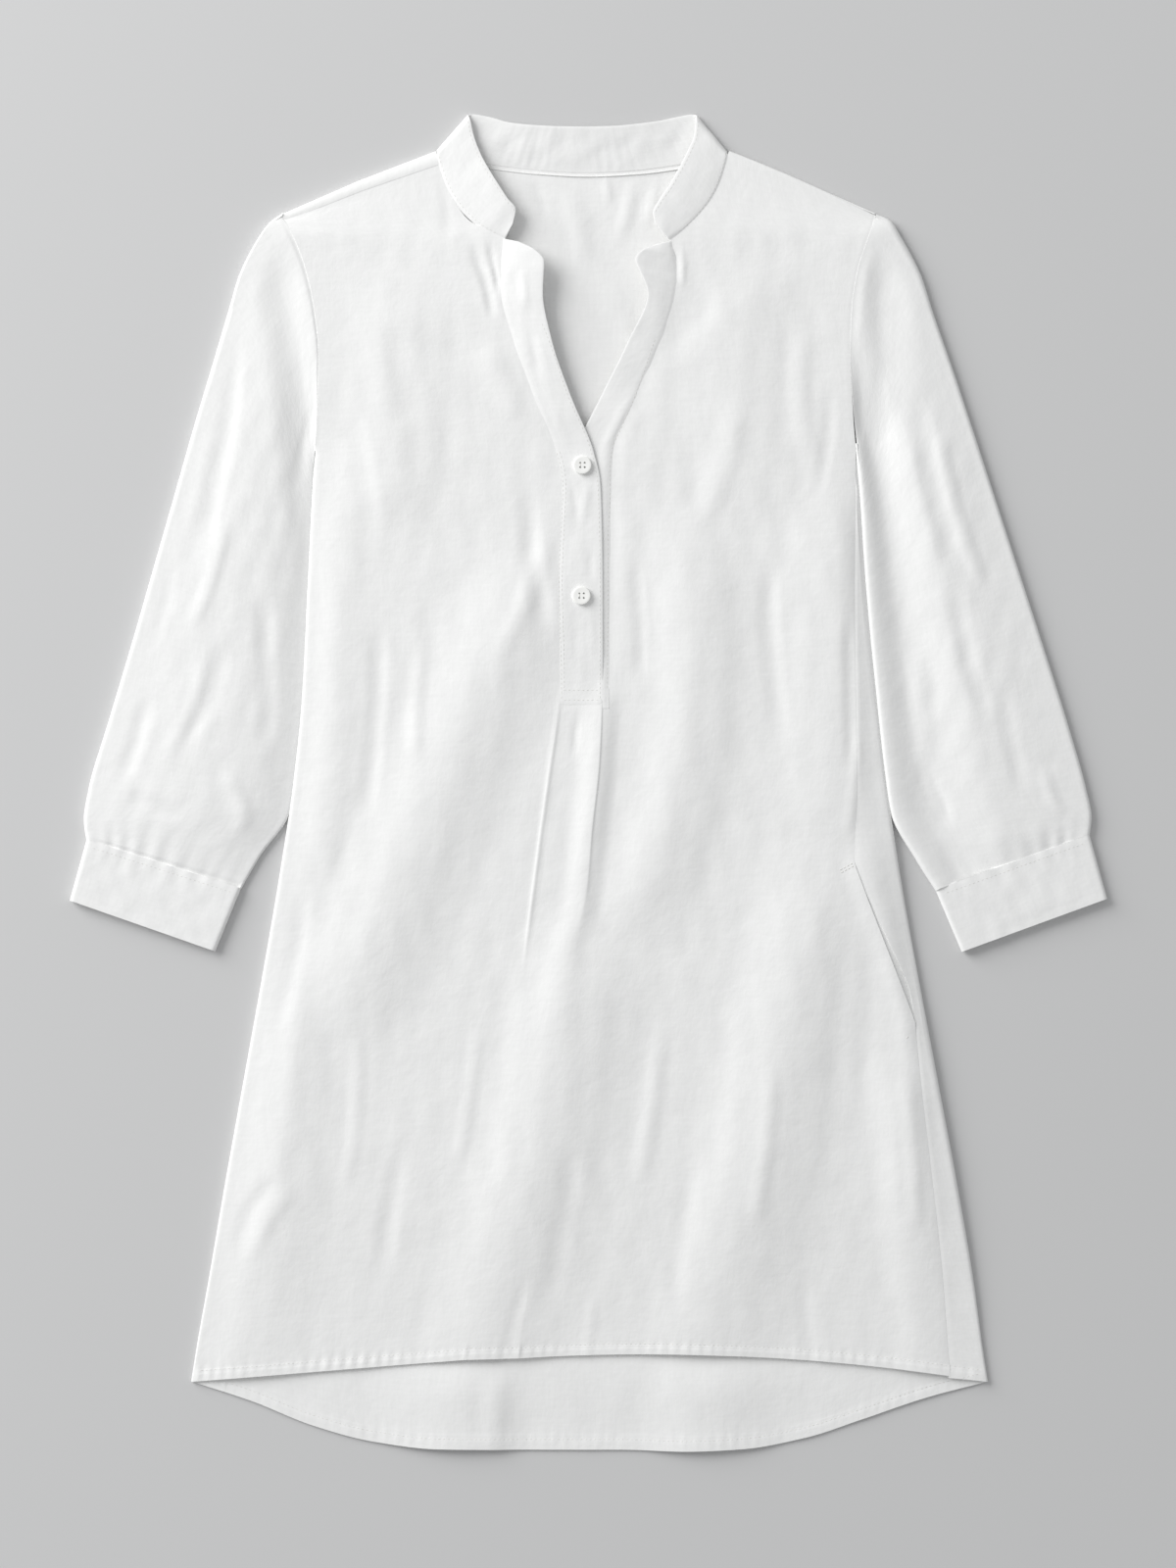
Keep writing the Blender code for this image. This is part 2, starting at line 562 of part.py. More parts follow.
def pleat_profile(reach, turn):
    """Return x and z steps along the pleat, from the edge of its top ply to its lowest ply.

    The first bend goes round the wall of the ply beneath, the second only round the clearance.
    """
    bend_out = CLOTH + PLY_GAP / 2.0
    bend_in = PLY_GAP / 2.0
    whole = math.radians(turn)
    turns = [whole * k / PLY_STEPS for k in range(PLY_STEPS + 1)]
    profile = [(bend_out * math.sin(a), bend_out * (math.cos(a) - 1.0)) for a in turns]
    x, z = profile[-1]
    x, z = x + reach * math.cos(whole), z - reach * math.sin(whole)
    profile += [(x + bend_in * (math.sin(whole) - math.sin(a)),
                 z - bend_in * (math.cos(a) - math.cos(whole))) for a in reversed(turns)]
    return profile


def front_right(t):
    """Return a row of the right front, from the placket to the right side seam."""
    row = section(t)
    seam_x = row.right_x
    if t <= UNDERARM:
        seam_x -= float(SEAM_AT.right(row.side_y))
    slit = (row.slit_right_x, row.slit_right_y, row.slit_right_z)
    points = []
    for k in range(RIGHT_COLUMNS + 1):
        x = row.slit_right_x + (seam_x - row.slit_right_x) * k / RIGHT_COLUMNS
        share = (x - row.slit_right_x) / (row.right_x - row.slit_right_x)
        y = row.slit_right_y + (row.side_y - row.slit_right_y) * share
        y += row.arc * 4.0 * share * (1.0 - share)
        points.append(front_point(x, y, t, slit, 1.0 - share))
    return points


def shoulder_rows(last, slit_right):
    """Return two rows that carry the right front over the fold of the shoulder."""
    outward = np.array((last[-1][1] - last[slit_right][1], last[slit_right][0] - last[-1][0]))
    outward = -outward / np.linalg.norm(outward)
    rows = []
    for turn in (45.0, 14.0):
        row = list(last)
        for j in range(slit_right, len(last)):
            x, y, top = last[j]
            radius = top / 2.0
            run = radius * math.cos(math.radians(turn))
            row[j] = (x + outward[0] * run, y + outward[1] * run,
                      radius * (1.0 + math.sin(math.radians(turn))))
        rows.append(row)
    return rows


def hem_dip(x, t):
    """Return how far the back's hem lies below the line between its corners."""
    row = BODY[0]
    share = (x - row.left_x) / (row.right_x - row.left_x)
    return float(HEM_AT(share)) * (1.0 - float(ease(t / HEM_FADE)))


def pocket_show(y):
    """Return how much of the pocket's facing shows beside the mouth."""
    rise = (y - POCKET_TOP) / (POCKET_SHOW_Y - POCKET_TOP)
    fall = (y - POCKET_FOOT) / (POCKET_SHOW_Y - POCKET_FOOT)
    return POCKET_SHOW * float(ease(min(rise, fall)))


def back_panel(finish):
    """Make the back: flat beneath, round the right fold and over the left shoulder."""
    rows = body_rows(0, BACK_STRAIGHT)
    points = [back_row(t) for t in rows]
    neck = [back_neck_row(k / BACK_NECK_ROWS) for k in range(1, BACK_NECK_ROWS + 1)]
    flat = len(BACK_TOP) - 1
    top = len(rows) - 1 + BACK_NECK_ROWS
    points += neck + back_shoulder_rows(neck[-1])

    def present(i, j):
        if i >= top + 2:
            return j < NECK_LEFT
        if i >= top:
            return j < NECK_LEFT or NECK_RIGHT <= j < flat
        if j >= flat:
            return i < len(rows) and rows[i] < UNDERARM
        return True

    return cloth("back", points, present, finish, offset=1.0)


def back_span(t):
    """Return where the back's flat part starts and ends at a station, and its fold's height."""
    row = section(t)
    top = body_top(row.right_x, row.side_y)
    start, end = row.left_x, row.right_x
    if t <= UNDERARM:
        left_top = body_top(row.left_x, row.side_y)
        start += max(float(SEAM_AT.left(row.side_y)), left_top / 2.0 + 0.6) + GAP
        end -= top / 2.0
    return start, end, top, row


def back_row(t):
    """Return a row of the back: the flat part, the right fold and the strip on top."""
    start, end, top, row = back_span(t)
    points = []
    for share in BACK_SHARES:
        x = start + (end - start) * share
        points.append((x, row.side_y - hem_dip(x, t), 0.0))
    for x, z in edge_arc(row.right_x, top, -1.0, quarter_turns(-1, 1)[1:]):
        dip = hem_dip(x, t) if z < top / 2.0 else 0.0
        points.append((x, row.side_y - dip, z))
    seam_x = row.right_x - float(SEAM_AT.right(row.side_y)) + GAP + pocket_show(row.side_y)
    start_x = points[-1][0]
    for k in range(1, ROLL_COLUMNS + 1):
        x = start_x + (seam_x - start_x) * k / ROLL_COLUMNS
        share = (x - row.slit_right_x) / (row.right_x - row.slit_right_x)
        y = row.side_y + row.arc * 4.0 * share * (1.0 - share)
        points.append((x, y, body_top(x, row.side_y)))
    return points


def back_neck_row(share):
    """Return a row between the straight rows and the shoulders and neckline."""
    t = BACK_STRAIGHT + (len(BODY) - 1 - BACK_STRAIGHT) * share
    row = section(t)
    points = []
    for k, (across, point) in enumerate(zip(BACK_SHARES, BACK_TOP)):
        x = row.left_x + (row.right_x - row.left_x) * across
        rise = point.y - BODY[-1].side_y
        if k <= NECK_LEFT or k >= NECK_RIGHT:
            rise -= SHOULDER_TOP / 2.0
        y = row.side_y + rise * share ** (4 if across in (0.0, 1.0) else 1)
        points.append((x, y, 0.0))
    return points + [points[-1]] * (2 * ARC_STEPS + ROLL_COLUMNS)


def back_shoulder_rows(last):
    """Return rows round the shoulders' folds, and over the left one to its seam."""
    radius = SHOULDER_TOP / 2.0
    count = len(BACK_TOP) - 1
    rows = []
    for turn, lap in ((-45.0, None), (-20.0, None), (45.0, None), (90.0, None), (90.0, 1.0)):
        row = list(last)
        angle = math.radians(turn)
        for j in range(count + 1):
            share = min(j / NECK_LEFT, 1.0)
            run = radius * (1.0 - math.cos(angle))
            if lap:
                run = LEFT_LAP_TIP + (LEFT_LAP_NECK - LEFT_LAP_TIP) * share
            x, y, z = last[j]
            lean = LAP_LEAN if j <= NECK_LEFT else 0.0
            row[j] = (x + lean * run, y + radius - run, radius * (1.0 + math.sin(angle)))
        rows.append(row)
    return rows


def placket_overlap(finish):
    """Make the band that carries the buttonholes and lies on top."""
    points = []
    for t in body_rows(PLACKET_FOOT, NECK_NOTCH):
        row = section(t)
        lap = Lap(*(float(column(t)) for column in LAP_AT))
        start = (row.slit_left_x + GAP, row.slit_left_y + LAP_LIFT * (t == PLACKET_FOOT),
                 row.slit_left_z + OVERLAP_RAISE)
        end = (lap.over_x, lap.over_y, lap.over_z + OVERLAP_RAISE)
        points.append(band_row(start, end))
    return cloth("placket_overlap", points, everywhere, finish, wall=BAND)


def placket_underlap(finish):
    """Make the band that carries the buttons and lies beneath."""
    points = []
    for t in body_rows(PLACKET_FOOT, NECK_NOTCH):
        row = section(t)
        lap = Lap(*(float(column(t)) for column in LAP_AT))
        start = (lap.under_x, lap.under_y, lap.under_z)
        end = (row.slit_right_x - GAP, row.slit_right_y + LAP_LIFT * (t == PLACKET_FOOT),
               min(row.slit_right_z, UNDERLAP_TOP + (row.slit_right_z - UNDERLAP_TOP)
                   * float(ease((t - UNDERARM) / 2.0))))
        points.append(band_row(start, end))
    return cloth("placket_underlap", points, everywhere, finish, wall=BAND - 0.1)


def band_row(start, end):
    """Return points across a placket band."""
    start, end = np.array(start), np.array(end)
    return [tuple(start + (end - start) * k / BAND_COLUMNS) for k in range(BAND_COLUMNS + 1)]


def collar_band(finish):
    """Make the collar, from one front end round the back of the neck to the other."""
    points = []
    for stand in COLLAR:
        base = np.array((stand.base_x, stand.base_y, stand.base_z))
        top = np.array((stand.top_x, stand.top_y, stand.top_z))
        row = []
        for k in range(COLLAR_ROWS + 1):
            share = k / COLLAR_ROWS
            place = base + (top - base) * share
            place[2] += COLLAR_CROWN * 4.0 * share * (1.0 - share) * float(
                ease((max(stand.base_z, stand.top_z) - 4.0) / 3.0))
            row.append(tuple(place))
        points.append(row)
    return cloth("collar_band", points, everywhere, finish, wall=COLLAR_WALL, offset=0.0,
                 even=False)


def sleeve(name, rings, side, finish):
    """Make a sleeve: a flattened tube from the armhole to the cuff seam."""
    stations = [(ring.outer_x, ring.outer_y, ring.inner_x, ring.inner_y) for ring in rings]
    along = tracks(rings, range(len(rings)))
    rows = [sleeve_ring(along, t, side, len(rings) - 1)
            for t in rows_between(stations, SLEEVE_STEP)]
    return cloth(name, rows, everywhere, finish, closed=True, even=False)


def sleeve_ring(along, t, side, last):
    """Return the points round a sleeve at a station."""
    ring = Ring(*(float(column(t)) for column in along))
    outer, outer_in = sleeve_edge(along.outer_x, along.outer_y, t, last, side)
    inner, inner_in = sleeve_edge(along.inner_x, along.inner_y, t, last, -side)
    outer_top = OUTER_TOP + (EDGE_TOP - OUTER_TOP) * ring.bow
    inner_top = INNER_TOP + (EDGE_TOP - INNER_TOP) * ring.bow
    start = outer + outer_in * outer_top / 2.0
    end = inner + inner_in * inner_top / 2.0
    gather = float(ease((t - last + GATHER_RUN) / GATHER_RUN))

    def clear(spot, z):
        if spot[1] > BODY[UNDERARM].side_y - SIDE_CLEAR_RUN:
            edge = armhole_x(side, spot[1]) + side * ARMHOLE_CLEAR
        else:
            edge = armhole_x(side, spot[1]) + side * BODY_CLEAR
        x = max(spot[0], edge) if side > 0 else min(spot[0], edge)
        return float(x), float(spot[1]), float(z)

    def across(share, z):
        spot = start + (end - start) * share
        spot[0] += ring.bow * armhole_bow(side, share)
        return clear(spot, z)

    def crest(share):
        if share < RIDGE_AT:
            height = outer_top + (ring.top - outer_top) * ease(share / RIDGE_AT)
        else:
            height = inner_top + (ring.top - inner_top) * ease((1.0 - share) / (1.0 - RIDGE_AT))
        wave = math.cos(2.0 * math.pi * GATHERS * share) * ease(4.0 * min(share, 1.0 - share))
        return float(height) + GATHER_RISE * gather * float(wave)

    def arc(edge, inward, top, turn):
        angle = math.radians(turn)
        spot = edge + inward * top / 2.0 * (1.0 - math.cos(angle))
        return clear(spot, top / 2.0 * (1.0 + math.sin(angle)))

    points = [arc(outer, outer_in, outer_top, turn) for turn in quarter_turns(-1, 1)[1:-1]]
    points += [across(k / SLEEVE_COLUMNS, crest(k / SLEEVE_COLUMNS))
               for k in range(SLEEVE_COLUMNS + 1)]
    points += [arc(inner, inner_in, inner_top, turn)
               for turn in reversed(quarter_turns(-1, 1)[1:-1])]
    points += [across(k / SLEEVE_UNDER, 0.0) for k in range(SLEEVE_UNDER, -1, -1)]
    return points


def sleeve_edge(x_at, y_at, t, last, turn):
    """Return a point of a sleeve's folded edge and the direction from it into the sleeve."""
    step = 0.25
    before, after = max(t - step, 0.0), min(t + step, float(last))
    run = np.array((float(x_at(after) - x_at(before)), float(y_at(after) - y_at(before))))
    run /= np.linalg.norm(run)
    return np.array((float(x_at(t)), float(y_at(t)))), turn * np.array((run[1], -run[0]))


def armhole_bow(side, share):
    """Return how far the armhole seam lies from a straight line between its ends."""
    rings = SLEEVE_LEFT if side < 0 else SLEEVE_RIGHT
    first = rings[0]
    y = first.outer_y + (first.inner_y - first.outer_y) * share
    chord = first.outer_x + (first.inner_x - first.outer_x) * share
    return armhole_x(side, y) + side * ARMHOLE_CLEAR - chord


def cuff(name, shape, rings, finish):
    """Make a cuff: a flattened band from the cuff seam to its open end."""
    last = rings[-1]
    top_outer = np.array((last.outer_x, last.outer_y))
    top_inner = np.array((last.inner_x, last.inner_y))
    low_outer = np.array((shape.outer_x, shape.outer_y))
    low_inner = np.array((shape.inner_x, shape.inner_y))
    down = (low_outer - top_outer) / np.linalg.norm(low_outer - top_outer)
    radius = CUFF_TOP / 2.0
    rows = []
    for i in range(CUFF_ROWS + 1):
        share = i / CUFF_ROWS
        outer = top_outer + (low_outer - top_outer) * share + down * CUFF_SEAM * (1.0 - share)
        inner = top_inner + (low_inner - top_inner) * share + down * CUFF_SEAM * (1.0 - share)
        across = (inner - outer) / np.linalg.norm(inner - outer)
        ring = []
        for turn in quarter_turns(-1, 1)[1:]:
            angle = math.radians(turn)
            spot = outer + across * radius * (1.0 - math.cos(angle))
            ring.append((*spot, radius * (1.0 + math.sin(angle))))
        flat = np.linalg.norm(inner - outer) - 2.0 * radius
        for k in range(1, CUFF_COLUMNS):
            spot = outer + across * (radius + flat * k / CUFF_COLUMNS)
            ring.append((*spot, CUFF_TOP))
        for turn in reversed(quarter_turns(-1, 1)):
            angle = math.radians(turn)
            spot = inner - across * radius * (1.0 - math.cos(angle))
            ring.append((*spot, radius * (1.0 + math.sin(angle))))
        for k in range(CUFF_UNDER - 1, -1, -1):
            spot = outer + across * (radius + flat * k / CUFF_UNDER)
            ring.append((*spot, 0.0))
        rows.append([tuple(float(c) for c in point) for point in ring])
    return cloth(name, rows, everywhere, finish, wall=COLLAR_WALL, closed=True)


def pocket_facing(finish):
    """Make the facing that shows in the mouth of the right side pocket."""
    points = []
    for k in range(FACING_ROWS + 1):
        y = POCKET_TOP + (POCKET_FOOT - POCKET_TOP) * k / FACING_ROWS
        mouth = float(SIDES.right_x(y)) - float(SEAM_AT.right(y))
        end = float(SIDES.right_x(y)) - EDGE_TOP / 2.0 - FACING_CLEAR
        row = []
        for x in (mouth - FACING_TUCK, mouth - 3.0, mouth + 1.0, min(mouth + FACING_TUCK, end)):
            row.append((x, y, body_top(x, y) - CLOTH - FACING_DROP))
        points.append(row)
    return cloth("pocket_facing", points[::-1], everywhere, finish, wall=FACING_WALL)


def button(name, x, y, z, finish):
    """Make a dished shirt button with four thread holes."""
    profile = [(0.0, 0.0), (BUTTON_RADIUS - 0.5, 0.0), (BUTTON_RADIUS, 0.7),
               (BUTTON_RADIUS, BUTTON_THICK - 0.6), (BUTTON_RADIUS - 0.6, BUTTON_THICK),
               (BUTTON_RADIUS - BUTTON_RIM, BUTTON_THICK),
               (BUTTON_RADIUS - BUTTON_RIM - 0.6, BUTTON_THICK - BUTTON_DISH),
               (0.0, BUTTON_THICK - BUTTON_DISH)]
    shape = bmesh.new()
    verts = [shape.verts.new((r * MM, 0.0, h * MM)) for r, h in profile]
    edges = [shape.edges.new(pair) for pair in zip(verts, verts[1:])]
    bmesh.ops.spin(shape, geom=verts + edges, angle=2.0 * math.pi, steps=BUTTON_SIDES,
                   axis=(0.0, 0.0, 1.0), cent=(0.0, 0.0, 0.0))
    bmesh.ops.remove_doubles(shape, verts=shape.verts, dist=0.02 * MM)
    bmesh.ops.recalc_face_normals(shape, faces=shape.faces)
    mesh = bpy.data.meshes.new(name)
    shape.to_mesh(mesh)
    shape.free()
    mesh.shade_smooth()
    mesh.set_sharp_from_angle(angle=math.radians(40.0))
    mesh.materials.append(finish)
    obj = bpy.data.objects.new(name, mesh)
    obj.location = (x * MM, y * MM, z * MM)
    bpy.context.collection.objects.link(obj)
    for number, (dx, dy) in enumerate(((1, 1), (1, -1), (-1, -1), (-1, 1))):
        spot = ((x + dx * HOLE_SPREAD) * MM, (y + dy * HOLE_SPREAD) * MM, z * MM)
        drill = hole_cutter(f"{name}_drill_{number}", spot)
        cut = obj.modifiers.new("thread_hole", "BOOLEAN")
        cut.operation = "DIFFERENCE"
        cut.solver = "EXACT"
        cut.object = drill
    return obj


def hole_cutter(name, spot):
    """Return a hidden cylinder that cuts one thread hole."""
    shape = bmesh.new()
    bmesh.ops.create_cone(shape, cap_ends=True, segments=HOLE_SIDES, radius1=BUTTON_HOLE * MM,
                          radius2=BUTTON_HOLE * MM, depth=4.0 * BUTTON_THICK * MM)
    mesh = bpy.data.meshes.new(name)
    shape.to_mesh(mesh)
    shape.free()
    drill = bpy.data.objects.new(name, mesh)
    drill.location = spot
    drill.hide_render = True
    drill.display_type = "WIRE"
    bpy.context.collection.objects.link(drill)
    return drill


def main():
    """Build the blouse."""
    clear_scene()
    linen = material("linen", LINEN)
    band = material("linen_band", LINEN_BAND)
    resin = material("button_resin", BUTTON_RESIN)
    back_panel(linen)
    front_panel(linen)
    placket_underlap(band)
    placket_overlap(band)
    collar_band(band)
    sleeve("sleeve_left", SLEEVE_LEFT, -1.0, linen)
    sleeve("sleeve_right", SLEEVE_RIGHT, 1.0, linen)
    cuff("cuff_left", CUFF_LEFT, SLEEVE_LEFT, band)
    cuff("cuff_right", CUFF_RIGHT, SLEEVE_RIGHT, band)
    pocket_facing(linen)
    for place in BUTTONS:
        button(place.name, place.x, place.y, place.z, resin)


main()
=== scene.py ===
"""Half-button blouse of white linen, laid flat on its back on a pale floor.

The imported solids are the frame. Each cloth node is replaced by a thin shell on the same form, made
finer from the same sizes, with hems, creases, gathers and sewing. Sizes are in millimetres and are
turned to metres when a mesh is made. +Y runs from hem to collar, +X to the right of someone who
looks down on the blouse, and Z = 0 is the surface that it lies on.
"""
import logging
import math
from dataclasses import dataclass, field
from enum import Enum
from typing import NamedTuple, Sequence

import bpy
import numpy as np
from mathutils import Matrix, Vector
from mathutils.bvhtree import BVHTree


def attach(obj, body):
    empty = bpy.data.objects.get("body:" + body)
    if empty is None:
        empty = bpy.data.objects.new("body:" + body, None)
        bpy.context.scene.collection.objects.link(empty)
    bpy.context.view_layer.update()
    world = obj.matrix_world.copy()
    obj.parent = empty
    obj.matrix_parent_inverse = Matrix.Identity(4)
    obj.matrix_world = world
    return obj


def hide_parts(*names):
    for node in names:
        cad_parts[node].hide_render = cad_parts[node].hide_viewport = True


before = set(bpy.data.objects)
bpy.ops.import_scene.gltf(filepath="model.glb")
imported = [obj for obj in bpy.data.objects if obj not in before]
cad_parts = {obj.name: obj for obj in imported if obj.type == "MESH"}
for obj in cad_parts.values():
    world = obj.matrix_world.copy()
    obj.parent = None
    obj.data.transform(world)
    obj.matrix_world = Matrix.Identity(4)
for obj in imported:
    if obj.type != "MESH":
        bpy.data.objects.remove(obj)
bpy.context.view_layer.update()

LOG = logging.getLogger("blouse")
Array = np.ndarray
Piece = bpy.types.Object
Finish = bpy.types.Material
MM = 0.001                # metres in a millimetre
SEED = 7                  # start of every random draw
CLOTH_UV = "cloth"        # name of the UV map on each cloth piece, in metres along the yarns


# -------- the cut

class Section(NamedTuple):
    """A section of the body: its ends on the side outline and the two slit edges."""

    side_y: float
    left_x: float
    right_x: float
    slit_left_x: float
    slit_left_y: float
    slit_left_z: float
    slit_right_x: float
    slit_right_y: float
    slit_right_z: float
    arc: float


class Lap(NamedTuple):
    """The free edges of the two placket bands at a station of the body."""

    station: float
    over_x: float
    over_y: float
    over_z: float
    under_x: float
    under_y: float
    under_z: float


class Inset(NamedTuple):
    """How far the side seams lie from the folded edges."""

    y: float
    right: float
    left: float


class FoldEdge(NamedTuple):
    """The pleat's folded edge: where it lies, how high it stands and how softly it falls."""

    y: float
    x: float
    rise: float
    run: float


class Stand(NamedTuple):
    """A station of the collar: its base on the neckline and its free edge."""

    base_x: float
    base_y: float
    base_z: float
    top_x: float
    top_y: float
    top_z: float


class Ring(NamedTuple):
    """A section of a sleeve: its folded edges, its bow at the armhole and its ridge."""

    outer_x: float
    outer_y: float
    inner_x: float
    inner_y: float
    bow: float
    top: float


class Crease(NamedTuple):
    """A soft ridge, or a trough where its height is negative, between two ends.

    bow is how far its middle lies to the left of the straight line between its ends, seen along
    it. It falls away over one width on its left and another on its right.
    """

    x0: float
    y0: float
    x1: float
    y1: float
    bow: float
    wide_left: float
    wide_right: float
    height: float


def table(kind: type, *rows: tuple) -> tuple:
    """Return a table's rows as named tuples of one kind."""
    return tuple(kind(*row) for row in rows)


BODY = table(
    Section,
    (-391, -259, 261, -80, -376.5, 4.6, -44, -375.5, 3.4, 8.5),
    (-372, -256, 258, -77, -360, 4.6, -42, -359, 3.4, 6.5),
    (-321, -247, 251, -69, -313, 4.7, -37, -312, 3.4, 2.5),
    (-257, -236, 240, -60, -253, 4.9, -30, -252, 3.4, 0.5),
    (-193, -224.5, 228, -51, -192, 5, -22.5, -191.5, 3.2, 0),
    (-129, -213, 216, -43, -129, 4.3, -13, -129, 3.6, 0),
    (-65, -202, 204.5, -35, -65, 4, 1.5, -65, 2.7, 0),
    (-1, -192.5, 195, -26, -1, 4.4, 7.5, -1, 2.6, 0),
    (52, -187, 189, -18.3, 52, 5.4, 12.6, 52, 2.6, 0),
    (130, -183, 181.5, -18.9, 130, 4.7, 13.2, 130, 2.9, 0),
    (193, -179.8, 177.2, -16.6, 193, 4.8, 14.2, 193, 3, 0),
    (214, -178.4, 175, -20.6, 216, 4.9, 15.3, 216, 3.2, 0),
    (246, -176.4, 172.4, -34.5, 252, 5.1, 30.5, 252, 4, 0),
    (280, -175.6, 171, -47.5, 288, 5.3, 46, 287, 4.8, 0),
    (310, -178.6, 172.2, -55.5, 318, 5.5, 55, 315, 5.2, 0),
    (336, -184.4, 176.4, -55.4, 337, 5.6, 57.6, 334, 5.4, 0),
    (352, -190.2, 181.6, -54, 354.4, 5.6, 53.2, 353, 5.4, 0),
    (361, -194.8, 184.8, -77, 366, 5.3, 72.2, 370, 5.1, 0),
    (366, -197.6, 186.6, -92, 388, 4.7, 85.4, 390.5, 4.6, 0),
    (368.2, -199.6, 187.2, -98.6, 404.8, 4, 91.4, 410.4, 3.8, 1.4),
)
PLACKET_FOOT, UNDERARM, BACK_STRAIGHT, NECK_NOTCH, SHOULDER = 8, 11, 14, 16, 19
HEM_SECTION = BODY[1].side_y - BODY[0].side_y  # height of the section that holds the hem
FOOT_SECTION = BODY[PLACKET_FOOT].side_y - BODY[PLACKET_FOOT - 1].side_y  # of the one below the slit
POCKET_TOP, POCKET_WIDEST, POCKET_FOOT = -56, -132, -161  # along the pocket's mouth

PLACKET = table(
    Lap,
    (8, 9.8, 52.4, 5.5, -15, 52.4, 2.8),
    (9, 9.6, 130, 4.8, -15.2, 130, 2.8),
    (10, 8.2, 193, 4.9, -14, 193, 2.8),
    (11, 3.6, 216, 5.1, -8.6, 216, 2.9),
    (12, -11.2, 252, 5.6, 8.6, 252, 4.2),
    (13, -23.6, 288, 6.4, 26.5, 288, 5.8),
    (14, -29.4, 318, 7.2, 39, 318, 7),
    (15, -28.6, 339, 8.2, 31, 341, 8.2),
    (15.5, -34.5, 346.6, 7.8, 35.5, 346.6, 7.6),
    (16, -45, 352.2, 6.4, 43.5, 350.4, 6.4),
)

SIDE_SEAM = table(
    Inset,
    (214, 0.4, 4.4), (196, 2.8, 5), (142, 7, 7),
    (69, 13, 13), (-3, 20, 20), (-48.5, 28.3, 23),
    (-52.8, 29, 23), (-56.5, 28.2, 23), (-104, 18.2, 23),
    (-152, 8.6, 23), (-155.8, 7.9, 23), (-160, 8.4, 23),
    (-199, 12, 23), (-391, 24.5, 23),
)

PLEAT = table(
    FoldEdge,
    (62, 9.2, 0, 1), (52, 9, 1.3, 1), (42, 8.7, 2.1, 1),
    (14, 7.4, 2.6, 1.1), (-30, 2.6, 2.6, 1.4), (-71, -1.3, 2.2, 3),
    (-92, -6.6, 1.7, 7), (-103, -10.5, 1.4, 11),
    (-130, -17, 0.8, 17), (-165, -24, 0.25, 20),
    (-205, -30, 0, 20),
)

COLLAR = table(
    Stand,
    (-53.2, 355.9, 5.3, -48.9, 364, 8.4),
    (-60, 358.8, 5.2, -47, 373, 9.6),
    (-68.2, 363.2, 5, -52.4, 380.5, 10.6),
    (-76.4, 369.6, 4.8, -58.4, 389.8, 10.8),
    (-85.4, 380, 4.5, -64.4, 399.5, 9.8),
    (-91.6, 391.2, 4.3, -70, 410, 8),
    (-95.6, 402.2, 4.1, -74.6, 422.6, 6.2),
    (-97.6, 409.2, 3.9, -76.8, 432.4, 4.8),
    (-98.6, 412, 2.4, -78, 435.4, 2.7),
    (-96.2, 413, 0.95, -75.6, 436.2, 0.95),
    (-84, 409.8, 0.9, -65, 434.6, 0.9),
    (-63.5, 405.9, 0.9, -51, 430.8, 1.6),
    (-43.5, 403.2, 0.9, -35, 429, 2.4),
    (-21, 401.2, 0.9, -18, 428.2, 2.8),
    (0, 400.5, 0.9, -2, 428, 2.9),
    (21, 401.2, 0.9, 16, 428.4, 2.8),
    (43.5, 403.4, 0.9, 33, 430, 2.4),
    (60, 405.9, 0.9, 47, 432, 1.6),
    (77, 409.4, 0.9, 59, 434.6, 0.9),
    (88.4, 412.4, 0.95, 68.4, 436, 0.95),
    (90.4, 411.4, 2.4, 70.6, 434.8, 2.7),
    (89.8, 408.8, 3.9, 70.2, 430, 4.8),
    (88, 401.8, 4.1, 69.2, 422, 6.2),
    (84.6, 391.6, 4.3, 65.4, 412.6, 8),
    (78.6, 380.2, 4.5, 59.4, 400.6, 9.8),
    (71.2, 370.8, 4.8, 52.4, 388.4, 10.8),
    (63.4, 363, 5, 45.8, 378.6, 10.6),
    (57.4, 358.4, 5.2, 42.4, 371.4, 9.6),
    (52, 354.8, 5.3, 43.6, 364.4, 8.4),
)

BACK_TOP = ((-200.4, 370.9), (-150, 392.8), (-99.8, 412), (-84, 407.2), (-63.5, 403.6),
            (-34, 400.2), (0, 398.5), (34, 400.2), (60, 403.6), (77, 407),
            (91.8, 411.4), (140, 392.4), (187.6, 371.6))
NECK_LEFT, NECK_RIGHT = 2, 10
HEM_DIP = (0, 13, 29, 39.5, 44, 44.4, 44.6, 44.6, 45.6, 44, 37, 24, 10.5, 0)

SLEEVE_LEFT = table(
    Ring,
    (-199.2, 371.6, -178.9, 221, 1, 5),
    (-208, 365.2, -179, 217, 0.85, 6.4),
    (-215, 355.5, -179.2, 213, 0.7, 7.4),
    (-227.2, 332, -179.6, 208, 0.5, 7.4),
    (-235, 306.2, -180.2, 201, 0.35, 7.2),
    (-246.4, 267.8, -181, 190, 0.22, 7.2),
    (-257.9, 229.4, -182, 172, 0.1, 7.2),
    (-268.8, 191, -183.4, 145, 0, 7.2),
    (-283.5, 139.8, -185.4, 103, 0, 7.2),
    (-298.2, 88.6, -187.6, 60, 0, 7.2),
    (-313.6, 37.4, -192.2, 12, 0, 7.6),
    (-325.4, -2, -197.6, -20, 0, 7.4),
    (-329, -24, -213.4, -47, 0, 6.2),
    (-327.3, -38, -226.6, -69.8, 0, 4.6),
)
